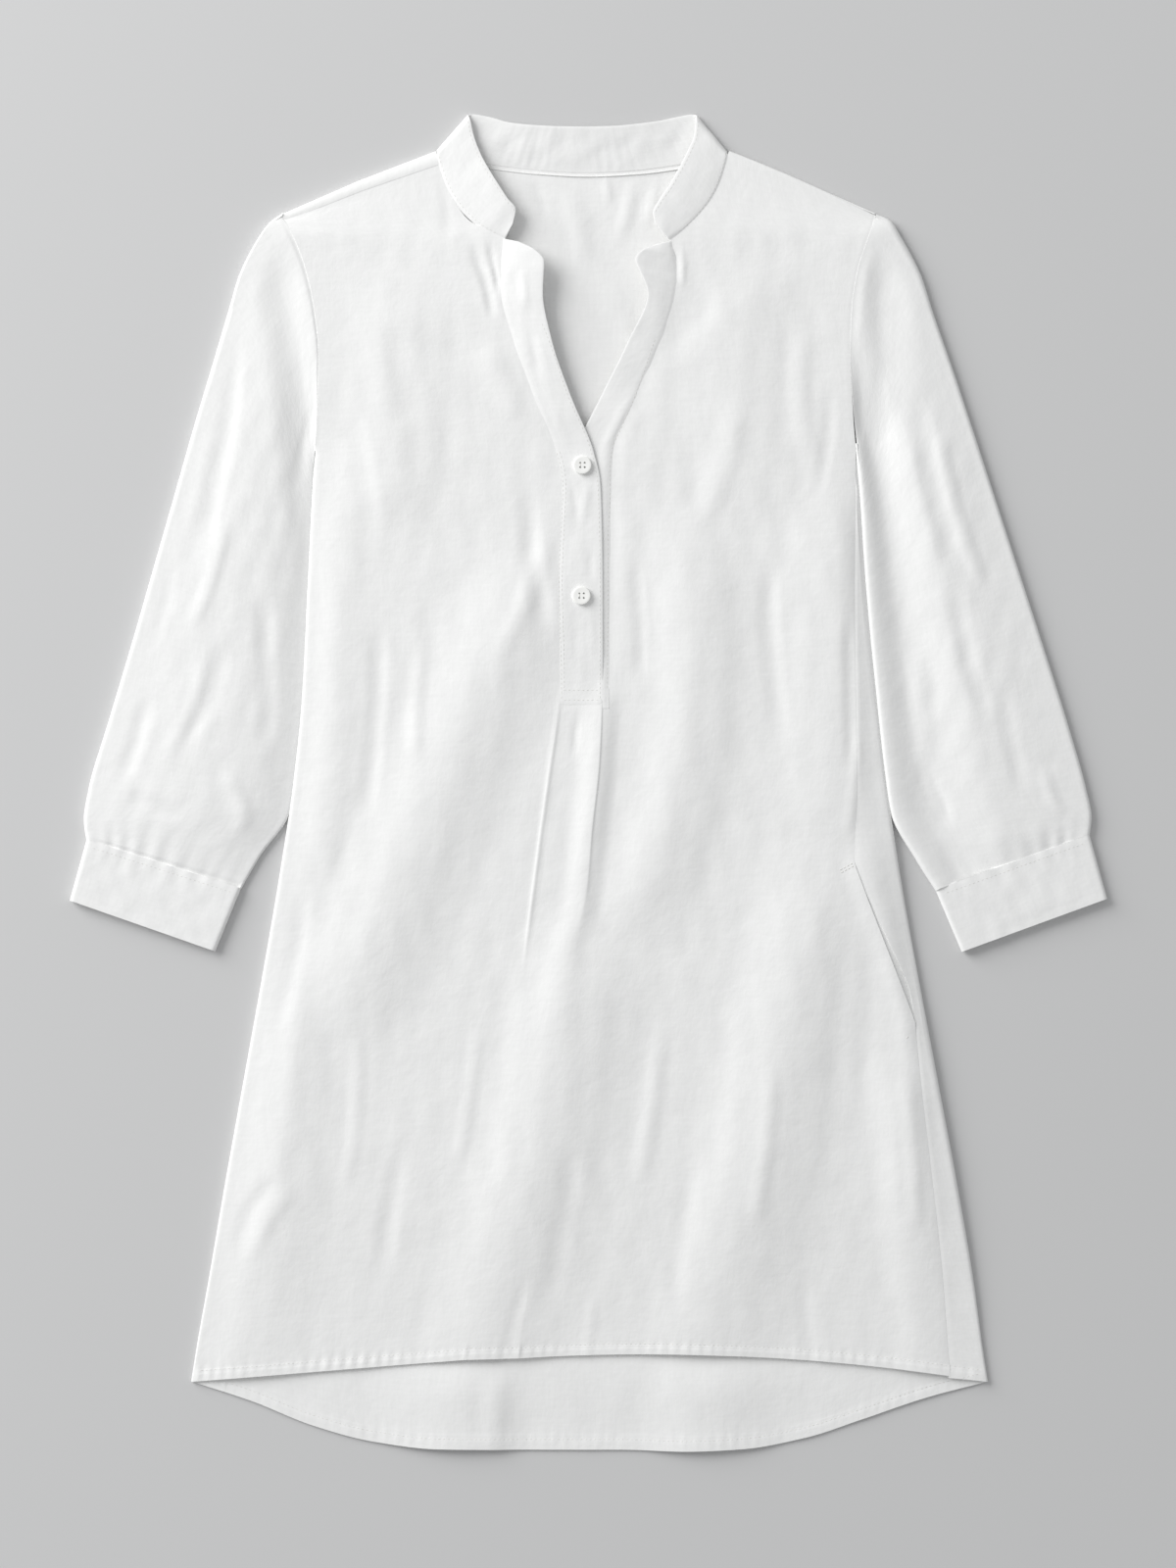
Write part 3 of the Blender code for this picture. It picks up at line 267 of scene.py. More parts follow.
SLEEVE_RIGHT = table(
    Ring,
    (188.2, 370.8, 175.6, 221, 1, 5),
    (197.8, 366.4, 175.8, 217, 0.85, 6.4),
    (203.5, 357.4, 176, 213, 0.7, 6.6),
    (217, 331.8, 176.7, 208, 0.5, 7.3),
    (225.4, 306, 177.4, 201, 0.35, 7.5),
    (238.6, 268, 178.4, 190, 0.22, 7.2),
    (251.4, 229.4, 179.8, 172, 0.1, 7.7),
    (263.9, 191, 181.6, 145, 0, 7.7),
    (280.6, 139.8, 184.8, 103, 0, 7.2),
    (297.2, 88.6, 189.2, 60, 0, 7.5),
    (313.4, 37.4, 194.8, 12, 0, 7.2),
    (324.6, -2, 199.8, -20, 0, 6.6),
    (328.6, -22, 213.6, -50, 0, 6.2),
    (327.4, -34.8, 226.8, -70.8, 0, 4.6),
)

# The long soft folds of the front, from the chest toward the hem
FOLDS = table(
    Crease,
    (-22, 172, -178, -190, 0, 52, 46, 3.7),
    (-186, -96, -220, -420, 2, 40, 46, 1.9),
    (-169, 208, -184, -84, 6, 26, 20, 1.3),
    (4, -70, -92, -440, 5, 60, 48, 4.2),
    (58, 194, 12, -120, 30, 44, 34, 3),
    (164, 210, 158, -70, 0, 40, 46, 2.2),
    (158, -16, 52, -440, 8, 60, 48, 4.2),
    (200, -150, 226, -430, -4, 34, 24, 2.4),
    (-128, 340, -138, 150, 6, 44, 40, 1.8),
    (112, 352, 108, 160, -12, 40, 40, 1.4),
    (-226, -240, -232, -420, 0, 15, 20, 1),
    (168, -12, 222, -200, 0, 26, 28, 1.6),
)

# Shorter creases of the front: the drag lines at the bands, the pleat, the pocket and the hem
FRONT_CREASES = table(
    Crease,
    (-15.8, 72, -43.4, -132, -0.6, 2.6, 2.2, 0.5),
    (-6, 44, -8, 16, -1, 2.6, 3.4, -0.6),
    (-78, 352, -62, 300, 3, 6, 5, -1),
    (-97, 398, -92, 352, 2, 7, 5, -0.7),
    (-66, 352, -58, 318, 1, 3, 3, -0.9),
    (93, 400, 104, 384, 1, 3, 3, -1.1),
    (57, 348, 58, 326, 0, 2.4, 2.4, -0.5),
    (62, 350, 62, 322, 0, 3, 3, 0.4),
    (80, 338, 10, 236, 8, 36, 32, -0.8),
    (40, 262, 96, 318, -6, 14, 18, 0.5),
    (-70, 288, -48, 232, 4, 12, 14, 0.9),
    (-40, 196, -26, 92, -2, 9, 11, -1),
    (-26, 168, -62, 76, 4, 12, 10, 0.8),
    (-128, 300, -120, 226, 5, 14, 14, -0.7),
    (-158, 250, -140, 150, 4, 10, 14, -0.7),
    (-136, 110, -146, -30, 3, 8, 10, -0.8),
    (-106, 96, -112, 6, -3, 8, 8, 0.6),
    (30, 150, 34, 60, 2, 6, 8, -0.6),
    (96, 250, 70, 160, 5, 12, 14, 0.8),
    (140, 300, 150, 196, -6, 10, 12, 0.6),
    (158, 260, 148, 180, 3, 6, 8, -0.5),
    (118, 150, 128, 20, -3, 9, 11, -0.8),
    (170, 120, 172, 0, 0, 5, 7, -0.8),
    (176, 40, 168, -40, 2, 5, 7, 0.4),
    (170, -60, 162, -230, -4, 14, 20, -0.5),
    (206, -180, 214, -300, 2, 8, 9, 0.9),
    (-186, -60, -206, -170, 4, 9, 12, -0.9),
    (-198, -255, -232, -310, -6, 8, 9, -0.9),
    (-188, -262, -226, -322, -4, 8, 8, 0.5),
    (-150, -150, -158, -270, 3, 8, 8, 0.6),
    (-120, -230, -134, -330, -2, 9, 10, -0.6),
    (-72, -150, -88, -260, 3, 8, 8, 0.6),
    (-10, -230, -30, -350, 4, 10, 12, -0.7),
    (48, -150, 30, -270, 3, 9, 9, 0.6),
    (72, -240, 56, -350, -3, 9, 10, -0.6),
    (120, -180, 106, -300, 3, 9, 9, 0.7),
    (-40, -320, -58, -392, 0, 6, 7, -0.7),
    (4, -330, -2, -392, 0, 6, 7, 0.6),
    (140, -320, 146, -392, 0, 8, 8, -0.7),
)

# The back's inner face, seen in the neck and below the front's hem
BACK_CREASES = table(
    Crease,
    (-250, -386, 250, -386, 0, 30, 46, 1.2),
    (-84, -367, -80, -470, 0, 46, 66, 3.1),
    (72, -367, 78, -470, 0, 64, 46, 2.9),
    (-58, -380, -62, -450, 0, 12, 14, 0.9),
    (-80, 440, 4, 165, 6, 60, 44, 1.4),
    (-20, 392, -4, 330, 6, 12, 10, 0.7),
    (28, 398, 18, 350, 3, 7, 7, 0.6),
    (-40, 396, -26, 366, 2, 6, 6, -0.5),
    (10, 398, 14, 376, 1, 4, 5, 0.6),
    (44, 396, 34, 360, 3, 5, 6, 0.6),
    (0, 330, 30, 280, 6, 12, 14, 0.8),
)

SLEEVE_LEFT_CREASES = table(
    Crease,
    (-204, 362, -177, 150, 4, 16, 23, -3),
    (-230, 300, -262, 130, 8, 9, 12, -0.8),
    (-236, 178, -262, 96, 5, 7, 9, 0.7),
    (-238, 96, -268, 22, 8, 9, 12, -0.8),
    (-250, 84, -276, 18, 6, 7, 8, 0.5),
    (-288, 60, -306, 0, 3, 9, 9, -0.8),
    (-272, 150, -290, 80, 3, 8, 8, -0.6),
    (-300, -6, -262, -22, -3, 8, 8, -0.9),
    (-240, 10, -222, -36, 4, 8, 9, 0.9),
    (-214, 130, -210, 20, 3, 9, 10, -0.8),
)
SLEEVE_RIGHT_CREASES = table(
    Crease,
    (190, 356, 197, 205, 0, 26, 15, -2.3),
    (186, 350, 177, 280, -3, 4, 5, 0.6),
    (216, 262, 244, 130, -6, 10, 11, -1.1),
    (228, 236, 262, 120, -5, 8, 8, 0.9),
    (240, 130, 262, 40, -4, 9, 10, -0.9),
    (212, 90, 220, 10, 2, 10, 10, 0.8),
    (270, 70, 286, -10, -3, 9, 9, -0.7),
    (214, 10, 236, -30, 3, 8, 9, -1),
    (296, 10, 312, -24, -2, 7, 7, 0.8),
)


# -------- number helpers

def ease(share: Array | float) -> Array:
    """Turn a share from 0 to 1 into one that starts and ends level."""
    share = np.clip(share, 0, 1)
    return share * share * (3 - 2 * share)


def bell(share: Array | float) -> Array:
    """Return 1 at 0 and fall level to 0 at 1 and beyond."""
    return 0.5 + 0.5 * np.cos(np.pi * np.clip(np.abs(share), 0, 1))


class Track:
    """A smooth function through keyed values that never overshoots them."""

    def __init__(self, keys: Sequence[float], values: Sequence[float]) -> None:
        """Work out the slopes at the keys.

        Args:
            keys: Where the values stand, all rising or all falling.
            values: One value for each key.
        """
        self.keys, self.values = np.asarray(keys, float), np.asarray(values, float)
        if self.keys[0] > self.keys[-1]:
            self.keys, self.values = self.keys[::-1], self.values[::-1]
        steps = np.diff(self.values) / np.diff(self.keys)
        inner = steps[:-1] * steps[1:]
        whole = steps[:-1] + steps[1:]
        safe = np.where(np.abs(whole) < 1e-12, 1, whole)
        middle = np.where(inner > 0, 2 * inner / safe, 0)
        self.slopes = np.concatenate((steps[:1], middle, steps[-1:]))

    def __call__(self, key: Array | float) -> Array:
        """Return the value at a key, held level past both ends."""
        key = np.clip(np.asarray(key, float), self.keys[0], self.keys[-1])
        i = np.clip(np.searchsorted(self.keys, key) - 1, 0, len(self.keys) - 2)
        span = self.keys[i + 1] - self.keys[i]
        t = (key - self.keys[i]) / span
        rise = self.values[i + 1] - self.values[i]
        start, end = span * self.slopes[i], span * self.slopes[i + 1]
        return (self.values[i] + t * start + t * t * (3 * rise - 2 * start - end)
                + t * t * t * (start + end - 2 * rise))


def tracks(rows: Sequence[tuple], keys: Sequence[float]) -> tuple:
    """Return a row of tracks, one for each column of a table."""
    kind = type(rows[0])
    return kind(*(Track(keys, [getattr(row, name) for row in rows]) for name in kind._fields))


def crease_lift(creases: Sequence[Crease], x: Array, y: Array, fade: float = 0.25) -> Array:
    """Return the summed height of a table's creases.

    Args:
        creases: The table.
        x: Places across.
        y: Places along.
        fade: Share of a crease's length over which each end fades.

    Returns:
        The height at each place.
    """
    total = np.zeros(np.broadcast(x, y).shape)
    for crease in creases:
        run = np.array((crease.x1 - crease.x0, crease.y1 - crease.y0), float)
        length = float(np.hypot(*run))
        run /= length
        dx, dy = x - crease.x0, y - crease.y0
        along = (dx * run[0] + dy * run[1]) / length
        aside = -dx * run[1] + dy * run[0]
        aside = aside - crease.bow * 4 * along * (1 - along)
        wide = np.where(aside > 0, crease.wide_left, crease.wide_right)
        total += crease.height * bell(aside / wide) * ease(along / fade) * ease((1 - along) / fade)
    return total


def fold_lift(x: Array, y: Array) -> Array:
    """Return how far the long folds lift the front; where two meet they blend and don't add."""
    total = np.zeros(np.broadcast(x, y).shape)
    for fold in FOLDS:
        total += crease_lift((fold,), x, y, fade=0.22) ** 3
    return np.cbrt(total)


def ripple(x: Array, y: Array, pitch: float, seed: int) -> Array:
    """Return an uneven wave between about -1 and 1, as crumpled linen has.

    Args:
        x: Places across.
        y: Places along.
        pitch: Usual distance between two crests.
        seed: Start of the random draw.

    Returns:
        The wave's height at each place.
    """
    rng = np.random.default_rng(SEED + seed)
    total = np.zeros(np.broadcast(x, y).shape)
    for _ in range(14):
        turn = rng.uniform(0, math.pi)
        size = pitch * rng.uniform(0.7, 1.6)
        phase = rng.uniform(0, 2 * math.pi)
        along = (x * math.cos(turn) + 0.6 * y * math.sin(turn)) * 2 * math.pi / size
        bend = 1.4 * np.sin(y / (1.7 * pitch) + rng.uniform(0, 6.3))
        total += np.sin(along + bend + phase)
    return total / 5


# -------- finishes

def linear(code: str) -> tuple[float, float, float, float]:
    """Turn an sRGB hex colour such as #F2F1EC into linear colour with full alpha."""
    shares = [int(code[i:i + 2], 16) / 255 for i in (1, 3, 5)]
    return (*(s / 12.92 if s <= 0.04045 else ((s + 0.055) / 1.055) ** 2.4 for s in shares), 1)


def add_node(tree: bpy.types.NodeTree, kind: str, settings: dict, links: dict) -> bpy.types.Node:
    """Add a node with its settings and links.

    Args:
        tree: The material's node tree.
        kind: The node's class name.
        settings: Property names, or input names and numbers, to values.
        links: Input names or numbers to the output sockets that feed them.

    Returns:
        The new node.
    """
    node = tree.nodes.new(kind)
    for name, value in settings.items():
        if isinstance(name, str) and hasattr(node, name):
            setattr(node, name, value)
        else:
            node.inputs[name].default_value = value
    for name, socket in links.items():
        tree.links.new(socket, node.inputs[name])
    return node


def new_material(name: str, surface: dict) -> tuple[Finish, bpy.types.Node]:
    """Return a material and its Principled shader, with its settings and wired to the output."""
    made = bpy.data.materials.new(name)
    made.use_nodes = True
    made.node_tree.nodes.clear()
    shader = add_node(made.node_tree, "ShaderNodeBsdfPrincipled", surface, {})
    add_node(made.node_tree, "ShaderNodeOutputMaterial", {}, {"Surface": shader.outputs[0]})
    return made, shader


def drifting(name: str, colours: tuple[str, str], drift: dict, surface: dict) -> Finish:
    """Make a material whose colour drifts between two, in Object coordinates.

    Args:
        name: The material's name.
        colours: The two colours.
        drift: The noise's settings.
        surface: The shader's settings.

    Returns:
        The material.
    """
    made, shader = new_material(name, surface)
    tree = made.node_tree
    place = add_node(tree, "ShaderNodeTexCoord", {}, {})
    noise = add_node(tree, "ShaderNodeTexNoise", drift, {"Vector": place.outputs["Object"]})
    colour = add_node(tree, "ShaderNodeMix",
                      {"data_type": "RGBA", 6: linear(colours[0]), 7: linear(colours[1])},
                      {0: noise.outputs["Fac"]})
    tree.links.new(colour.outputs[2], shader.inputs["Base Color"])
    return made


@dataclass(frozen=True)
class WovenLinen:
    """Bleached plain-woven linen: matte, with slubs where a yarn is thicker.

    The yarns of the real cloth lie 0.6 mm apart, too fine for the render, so the weave is drawn
    three times as coarse and faint. The slubs are as long as the real ones.
    """

    name: str
    colour: str = "#F8F8F7"
    shade: str = "#F5F5F4"  # colour in the slubs' shadow
    roughness: float = 0.86
    sheen: float = 0.12
    yarn_mm: float = 1.9  # drawn spacing of the yarns
    slub_mm: float = 16.0  # length of a slub
    cloud_mm: float = 14.0  # size of the cloth's soft unevenness
    relief_mm: float = 0.085
    slubs: float = 0.4  # parts of the relief: slubs, weave and unevenness
    weave: float = 0.1
    clouds: float = 8.5

    def build(self) -> Finish:
        """Make the material; it reads the piece's own UV map, which is in metres."""
        made, shader = new_material(self.name, {
            "Roughness": self.roughness, "IOR": 1.53, "Specular IOR Level": 0.18,
            "Sheen Weight": self.sheen, "Sheen Roughness": 0.45})
        tree = made.node_tree
        place = add_node(tree, "ShaderNodeUVMap", {"uv_map": CLOTH_UV}, {}).outputs[0]
        yarns = 2 * math.pi / (20 * self.yarn_mm * MM)
        waves = [add_node(tree, "ShaderNodeTexWave",
                          {"wave_type": "BANDS", "bands_direction": axis, "Scale": yarns,
                           "Distortion": 1.2, "Detail": 2, "Detail Scale": 0.35},
                          {"Vector": place}) for axis in ("X", "Y")]
        weave = add_node(tree, "ShaderNodeMath", {"operation": "MULTIPLY"},
                         {0: waves[0].outputs["Fac"], 1: waves[1].outputs["Fac"]})
        slubs = []
        for stretch in ((1, 0.12, 1), (0.12, 1, 1)):
            mapped = add_node(tree, "ShaderNodeMapping", {"Scale": stretch}, {"Vector": place})
            slubs.append(add_node(tree, "ShaderNodeTexNoise",
                                  {"Scale": 8 / (self.slub_mm * MM), "Detail": 3,
                                   "Roughness": 0.6}, {"Vector": mapped.outputs[0]}))
        both = add_node(tree, "ShaderNodeMath", {"operation": "ADD"},
                        {0: slubs[0].outputs["Fac"], 1: slubs[1].outputs["Fac"]})
        soft = add_node(tree, "ShaderNodeMath", {"operation": "MULTIPLY", 1: self.slubs},
                        {0: both.outputs[0]})
        grain = add_node(tree, "ShaderNodeMath", {"operation": "MULTIPLY_ADD", 1: self.weave},
                         {0: weave.outputs[0], 2: soft.outputs[0]})
        clouds = add_node(tree, "ShaderNodeTexNoise",
                          {"Scale": 1 / (self.cloud_mm * MM), "Detail": 4, "Roughness": 0.6},
                          {"Vector": place})
        height = add_node(tree, "ShaderNodeMath", {"operation": "MULTIPLY_ADD", 1: self.clouds},
                          {0: clouds.outputs["Fac"], 2: grain.outputs[0]})
        bump = add_node(tree, "ShaderNodeBump", {"Strength": 0.55, "Distance": self.relief_mm * MM},
                        {"Height": height.outputs[0]})
        tone = add_node(tree, "ShaderNodeMapRange",
                        {"From Min": 0.8, "From Max": 1.2, "To Min": 0, "To Max": 1.0},
                        {"Value": both.outputs[0]})
        colour = add_node(tree, "ShaderNodeMix",
                          {"data_type": "RGBA", 6: linear(self.shade), 7: linear(self.colour)},
                          {0: tone.outputs[0]})
        tree.links.new(colour.outputs[2], shader.inputs["Base Color"])
        tree.links.new(bump.outputs[0], shader.inputs["Normal"])
        return made


@dataclass(frozen=True)
class MouldedResin:
    """Cast polyester button blank, turned and tumbled: milky, with a soft gloss."""

    name: str = "cast_resin"
    colour: str = "#FAFAF8"
    cloud: str = "#F4F4F1"
    cloud_mm: float = 5.0

    def build(self) -> Finish:
        """Make the material."""
        return drifting(self.name, (self.cloud, self.colour),
                        {"Scale": 1 / (self.cloud_mm * MM), "Detail": 3, "Distortion": 0.8},
                        {"Roughness": 0.28, "IOR": 1.54, "Coat Weight": 0.15})


@dataclass(frozen=True)
class SewingThread:
    """Spun polyester sewing thread: white, matte, twisted."""

    name: str = "spun_thread"
    colour: str = "#EFEEEA"
    shade: str = "#DAD9D4"
    twist_mm: float = 1.2

    def build(self) -> Finish:
        """Make the material."""
        return drifting(self.name, (self.shade, self.colour),
                        {"Scale": 1 / (self.twist_mm * MM), "Detail": 2.0}, {"Roughness": 0.8})


@dataclass(frozen=True)
class PaintedBoard:
    """Matte emulsion on a smooth board: the pale floor."""

    name: str = "pale_board"
    colour: str = "#D3D3D3"

    def build(self) -> Finish:
        """Make the material: one even matte colour."""
        return new_material(self.name, {"Base Color": linear(self.colour), "Roughness": 0.9,
                                        "Specular IOR Level": 0.2})[0]


class Slot(Enum):
    """The record's material slots."""

    LINEN = "linen"
    BAND = "linen_band"
    BUTTON = "button_resin"


class Side(Enum):
    """The two sides of the blouse, as someone who looks down on it sees them."""

    LEFT = -1
    RIGHT = 1


# -------- mesh making

@dataclass
class Weave:
    """A grid of points in millimetres that becomes a walled cloth piece.

    points[i, j] lie on the cloth's outer face. present[i, j] tells whether the cell from row i
    and column j is there. closed joins the last column to the first.
    """

    points: Array
    present: Array | None = None
    closed: bool = False

    def uv(self) -> Array:
        """Return lengths across and along the cloth, in millimetres."""
        steps = np.linalg.norm(np.diff(self.points, axis=1), axis=2)
        across = np.concatenate((np.zeros((len(self.points), 1)), np.cumsum(steps, axis=1)), axis=1)
        middle = across[:, across.shape[1] // 2:across.shape[1] // 2 + 1]
        rise = np.linalg.norm(np.diff(self.points, axis=0), axis=2).mean(axis=1)
        along = np.concatenate(((0,), np.cumsum(rise)))[:, None] + 0 * across
        return np.stack((across - middle, along), axis=2)

    def build(self, name: str, wall: float, offset: float = -1, edge: float = 0) -> Piece:
        """Make the piece.

        Args:
            name: The piece's name.
            wall: The cloth's thickness.
            offset: Solidify's: -1 puts the wall below a grid whose rows run from left to
                right, 1 above it and 0 half on each side.
            edge: Radius of the cloth's folded edges, or 0 for cut ones.

        Returns:
            The new object, closed and facing outwards.
        """
        rows, columns = self.points.shape[:2]
        present = self.present
        if present is None:
            present = np.ones((rows - 1, columns if self.closed else columns - 1), bool)
        i, j = np.nonzero(present)
        k = (j + 1) % columns
        faces = np.stack((i * columns + j, i * columns + k, (i + 1) * columns + k,
                          (i + 1) * columns + j), axis=1)
        if self.closed and self.turns_in():
            faces = faces[:, ::-1]
        used = np.unique(faces)
        renumber = np.full(rows * columns, -1)
        renumber[used] = np.arange(len(used))
        obj = add_piece(name, self.points.reshape(-1, 3)[used], renumber[faces].tolist())
        lay_uv(obj.data, self.uv().reshape(-1, 2)[faces.reshape(-1)])
        thicken = obj.modifiers.new("wall", "SOLIDIFY")
        thicken.thickness = wall * MM
        thicken.offset = offset
        if edge:
            round_rims(obj, "folded_edges", edge, 2, 60)
        apply_modifiers(obj)
        bpy.ops.object.shade_smooth_by_angle(angle=math.radians(50))
        for vertex in obj.data.vertices:
            vertex.co.z = max(vertex.co.z, 0)
        return obj

    def turns_in(self) -> bool:
        """Tell whether a closed ring's faces would point into it."""
        ring = self.points[len(self.points) // 2]
        ahead = self.points[len(self.points) // 2 + 1].mean(axis=0) - ring.mean(axis=0)
        spun = np.cross(ring - ring.mean(axis=0), np.roll(ring, -1, axis=0) - ring.mean(axis=0))
        return float(spun.sum(axis=0) @ ahead) < 0


def add_piece(name: str, points: Array, faces: Sequence) -> Piece:
    """Make a smooth object from points in millimetres and faces that index them."""
    mesh = bpy.data.meshes.new(name)
    mesh.from_pydata((points * MM).tolist(), [], faces)
    mesh.shade_smooth()
    obj = bpy.data.objects.new(name, mesh)
    bpy.context.scene.collection.objects.link(obj)
    return obj


def lay_uv(mesh: bpy.types.Mesh, spots: Array) -> None:
    """Add the cloth's UV map, with a spot in millimetres for each corner of each face."""
    layer = mesh.uv_layers.new(name=CLOTH_UV)
    layer.data.foreach_set("uv", (spots * MM).astype(np.float32).reshape(-1))


def pick(obj: Piece) -> None:
    """Make an object the active one, and the only one that is selected."""
    bpy.ops.object.select_all(action="DESELECT")
    obj.select_set(True)
    bpy.context.view_layer.objects.active = obj


def apply_modifiers(obj: Piece) -> None:
    """Apply every modifier of an object, in order."""
    pick(obj)
    for modifier in list(obj.modifiers):
        bpy.ops.object.modifier_apply(modifier=modifier.name)


def round_rims(obj: Piece, name: str, width: float, segments: int, sharper: float) -> None:
    """Add a bevel, with its width in millimetres, to edges that are sharper than some degrees."""
    soften = obj.modifiers.new(name, "BEVEL")
    soften.width = width * MM
    soften.segments = segments
    soften.limit_method = "ANGLE"
    soften.angle_limit = math.radians(sharper)


def fold_arc(edge: Array, inward: Array, top: Array | float, turns: Array) -> Array:
    """Return the points round a folded edge.

    Args:
        edge: The outline's points, one for each row.
        inward: Directions from them into the cloth.
        top: Height of the fold.
        turns: Turns in radians, from a quarter turn back beneath it to one ahead on top of it.

    Returns:
        The points, a row for each point of the outline.
    """
    level = 0 * edge[:, :1]
    run = top / 2 * (1 - np.cos(turns)) + level
    spot = edge[:, None] + inward[:, None] * run[:, :, None]
    height = top / 2 * (1 + np.sin(turns)) + level
    return np.concatenate((spot, height[:, :, None]), axis=2)


def even_rows(keys: Sequence[tuple[float, ...]], step: float) -> Array:
    """Return row positions, as fractions of a station, about a step apart."""
    rows: list[float] = []
    for i, (here, there) in enumerate(zip(keys, keys[1:])):
        span = max(math.dist(here[:2], there[:2]), math.dist(here[2:], there[2:]))
        count = max(1, round(span / step))
        rows += [i + k / count for k in range(count)]
    return np.array(rows + [float(len(keys) - 1)])


def dress(obj: Piece, material: Finish, nodes: Sequence[str] = ()) -> Piece:
    """Give a piece its material, its body and the CAD nodes that it stands for."""
    obj.data.materials.clear()
    obj.data.materials.append(material)
    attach(obj, "root")
    if nodes:
        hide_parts(*nodes)
    LOG.info("%s: %d faces", obj.name, len(obj.data.polygons))
    return obj


@dataclass
class Stitches:
    """A run of lockstitch, drawn as short threads that lie on the cloth."""

    length: float = 2.3  # visible length of one stitch
    pitch: float = 3.0  # from one stitch to the next
    radius: float = 0.16
    sides: int = 5
    dive: float = 0.6  # how deep its ends go into the cloth, in radii
    level: tuple[float, float] = (0.28, 0.72)  # the part of it that lies flat

    def along(self, path: Array) -> tuple[Array, Array]:
        """Lay stitches along a path.

        Args:
            path: Points on the cloth's surface.

        Returns:
            The stitches' points, and faces that index them.
        """
        steps = np.linalg.norm(np.diff(path, axis=0), axis=1)
        reach = np.concatenate(((0,), np.cumsum(steps)))
        count = max(1, int((reach[-1] - self.length) / self.pitch) + 1)
        starts = (reach[-1] - (count - 1) * self.pitch - self.length) / 2
        starts = starts + np.arange(count) * self.pitch
        points, faces = [], []
        turns = 2 * math.pi * np.arange(self.sides) / self.sides
        for start in starts:
            spots = [np.array([np.interp(start + share * self.length, reach, path[:, axis])
                               for axis in range(3)]) for share in (0, *self.level, 1)]
            run = spots[3] - spots[0]
            run /= np.linalg.norm(run)
            side = np.cross(run, (0, 0, 1))
            side /= np.linalg.norm(side)
            up = np.cross(side, run)
            first = len(points)
            points.append(spots[0] - up * self.radius * self.dive)
            for spot in spots[1:3]:
                for turn in turns:
                    points.append(spot + self.radius * (math.cos(turn) * side + math.sin(turn) * up))
            points.append(spots[3] - up * self.radius * self.dive)
            last = len(points) - 1
            for k in range(self.sides):
                a, b = first + 1 + k, first + 1 + (k + 1) % self.sides
                c, d = a + self.sides, b + self.sides
                faces += [(first, b, a), (a, b, d, c), (last, c, d)]
        return np.array(points), faces

    def build(self, name: str, paths: Sequence[Array]) -> Piece:
        """Make one piece of the stitches along several paths."""
        every, faces = [], []
        for path in paths:
            points, local = self.along(path)
            shift = sum(len(part) for part in every)
            faces += [tuple(index + shift for index in face) for face in local]
            every.append(points)
        return add_piece(name, np.concatenate(every), faces)


# -------- the body's form

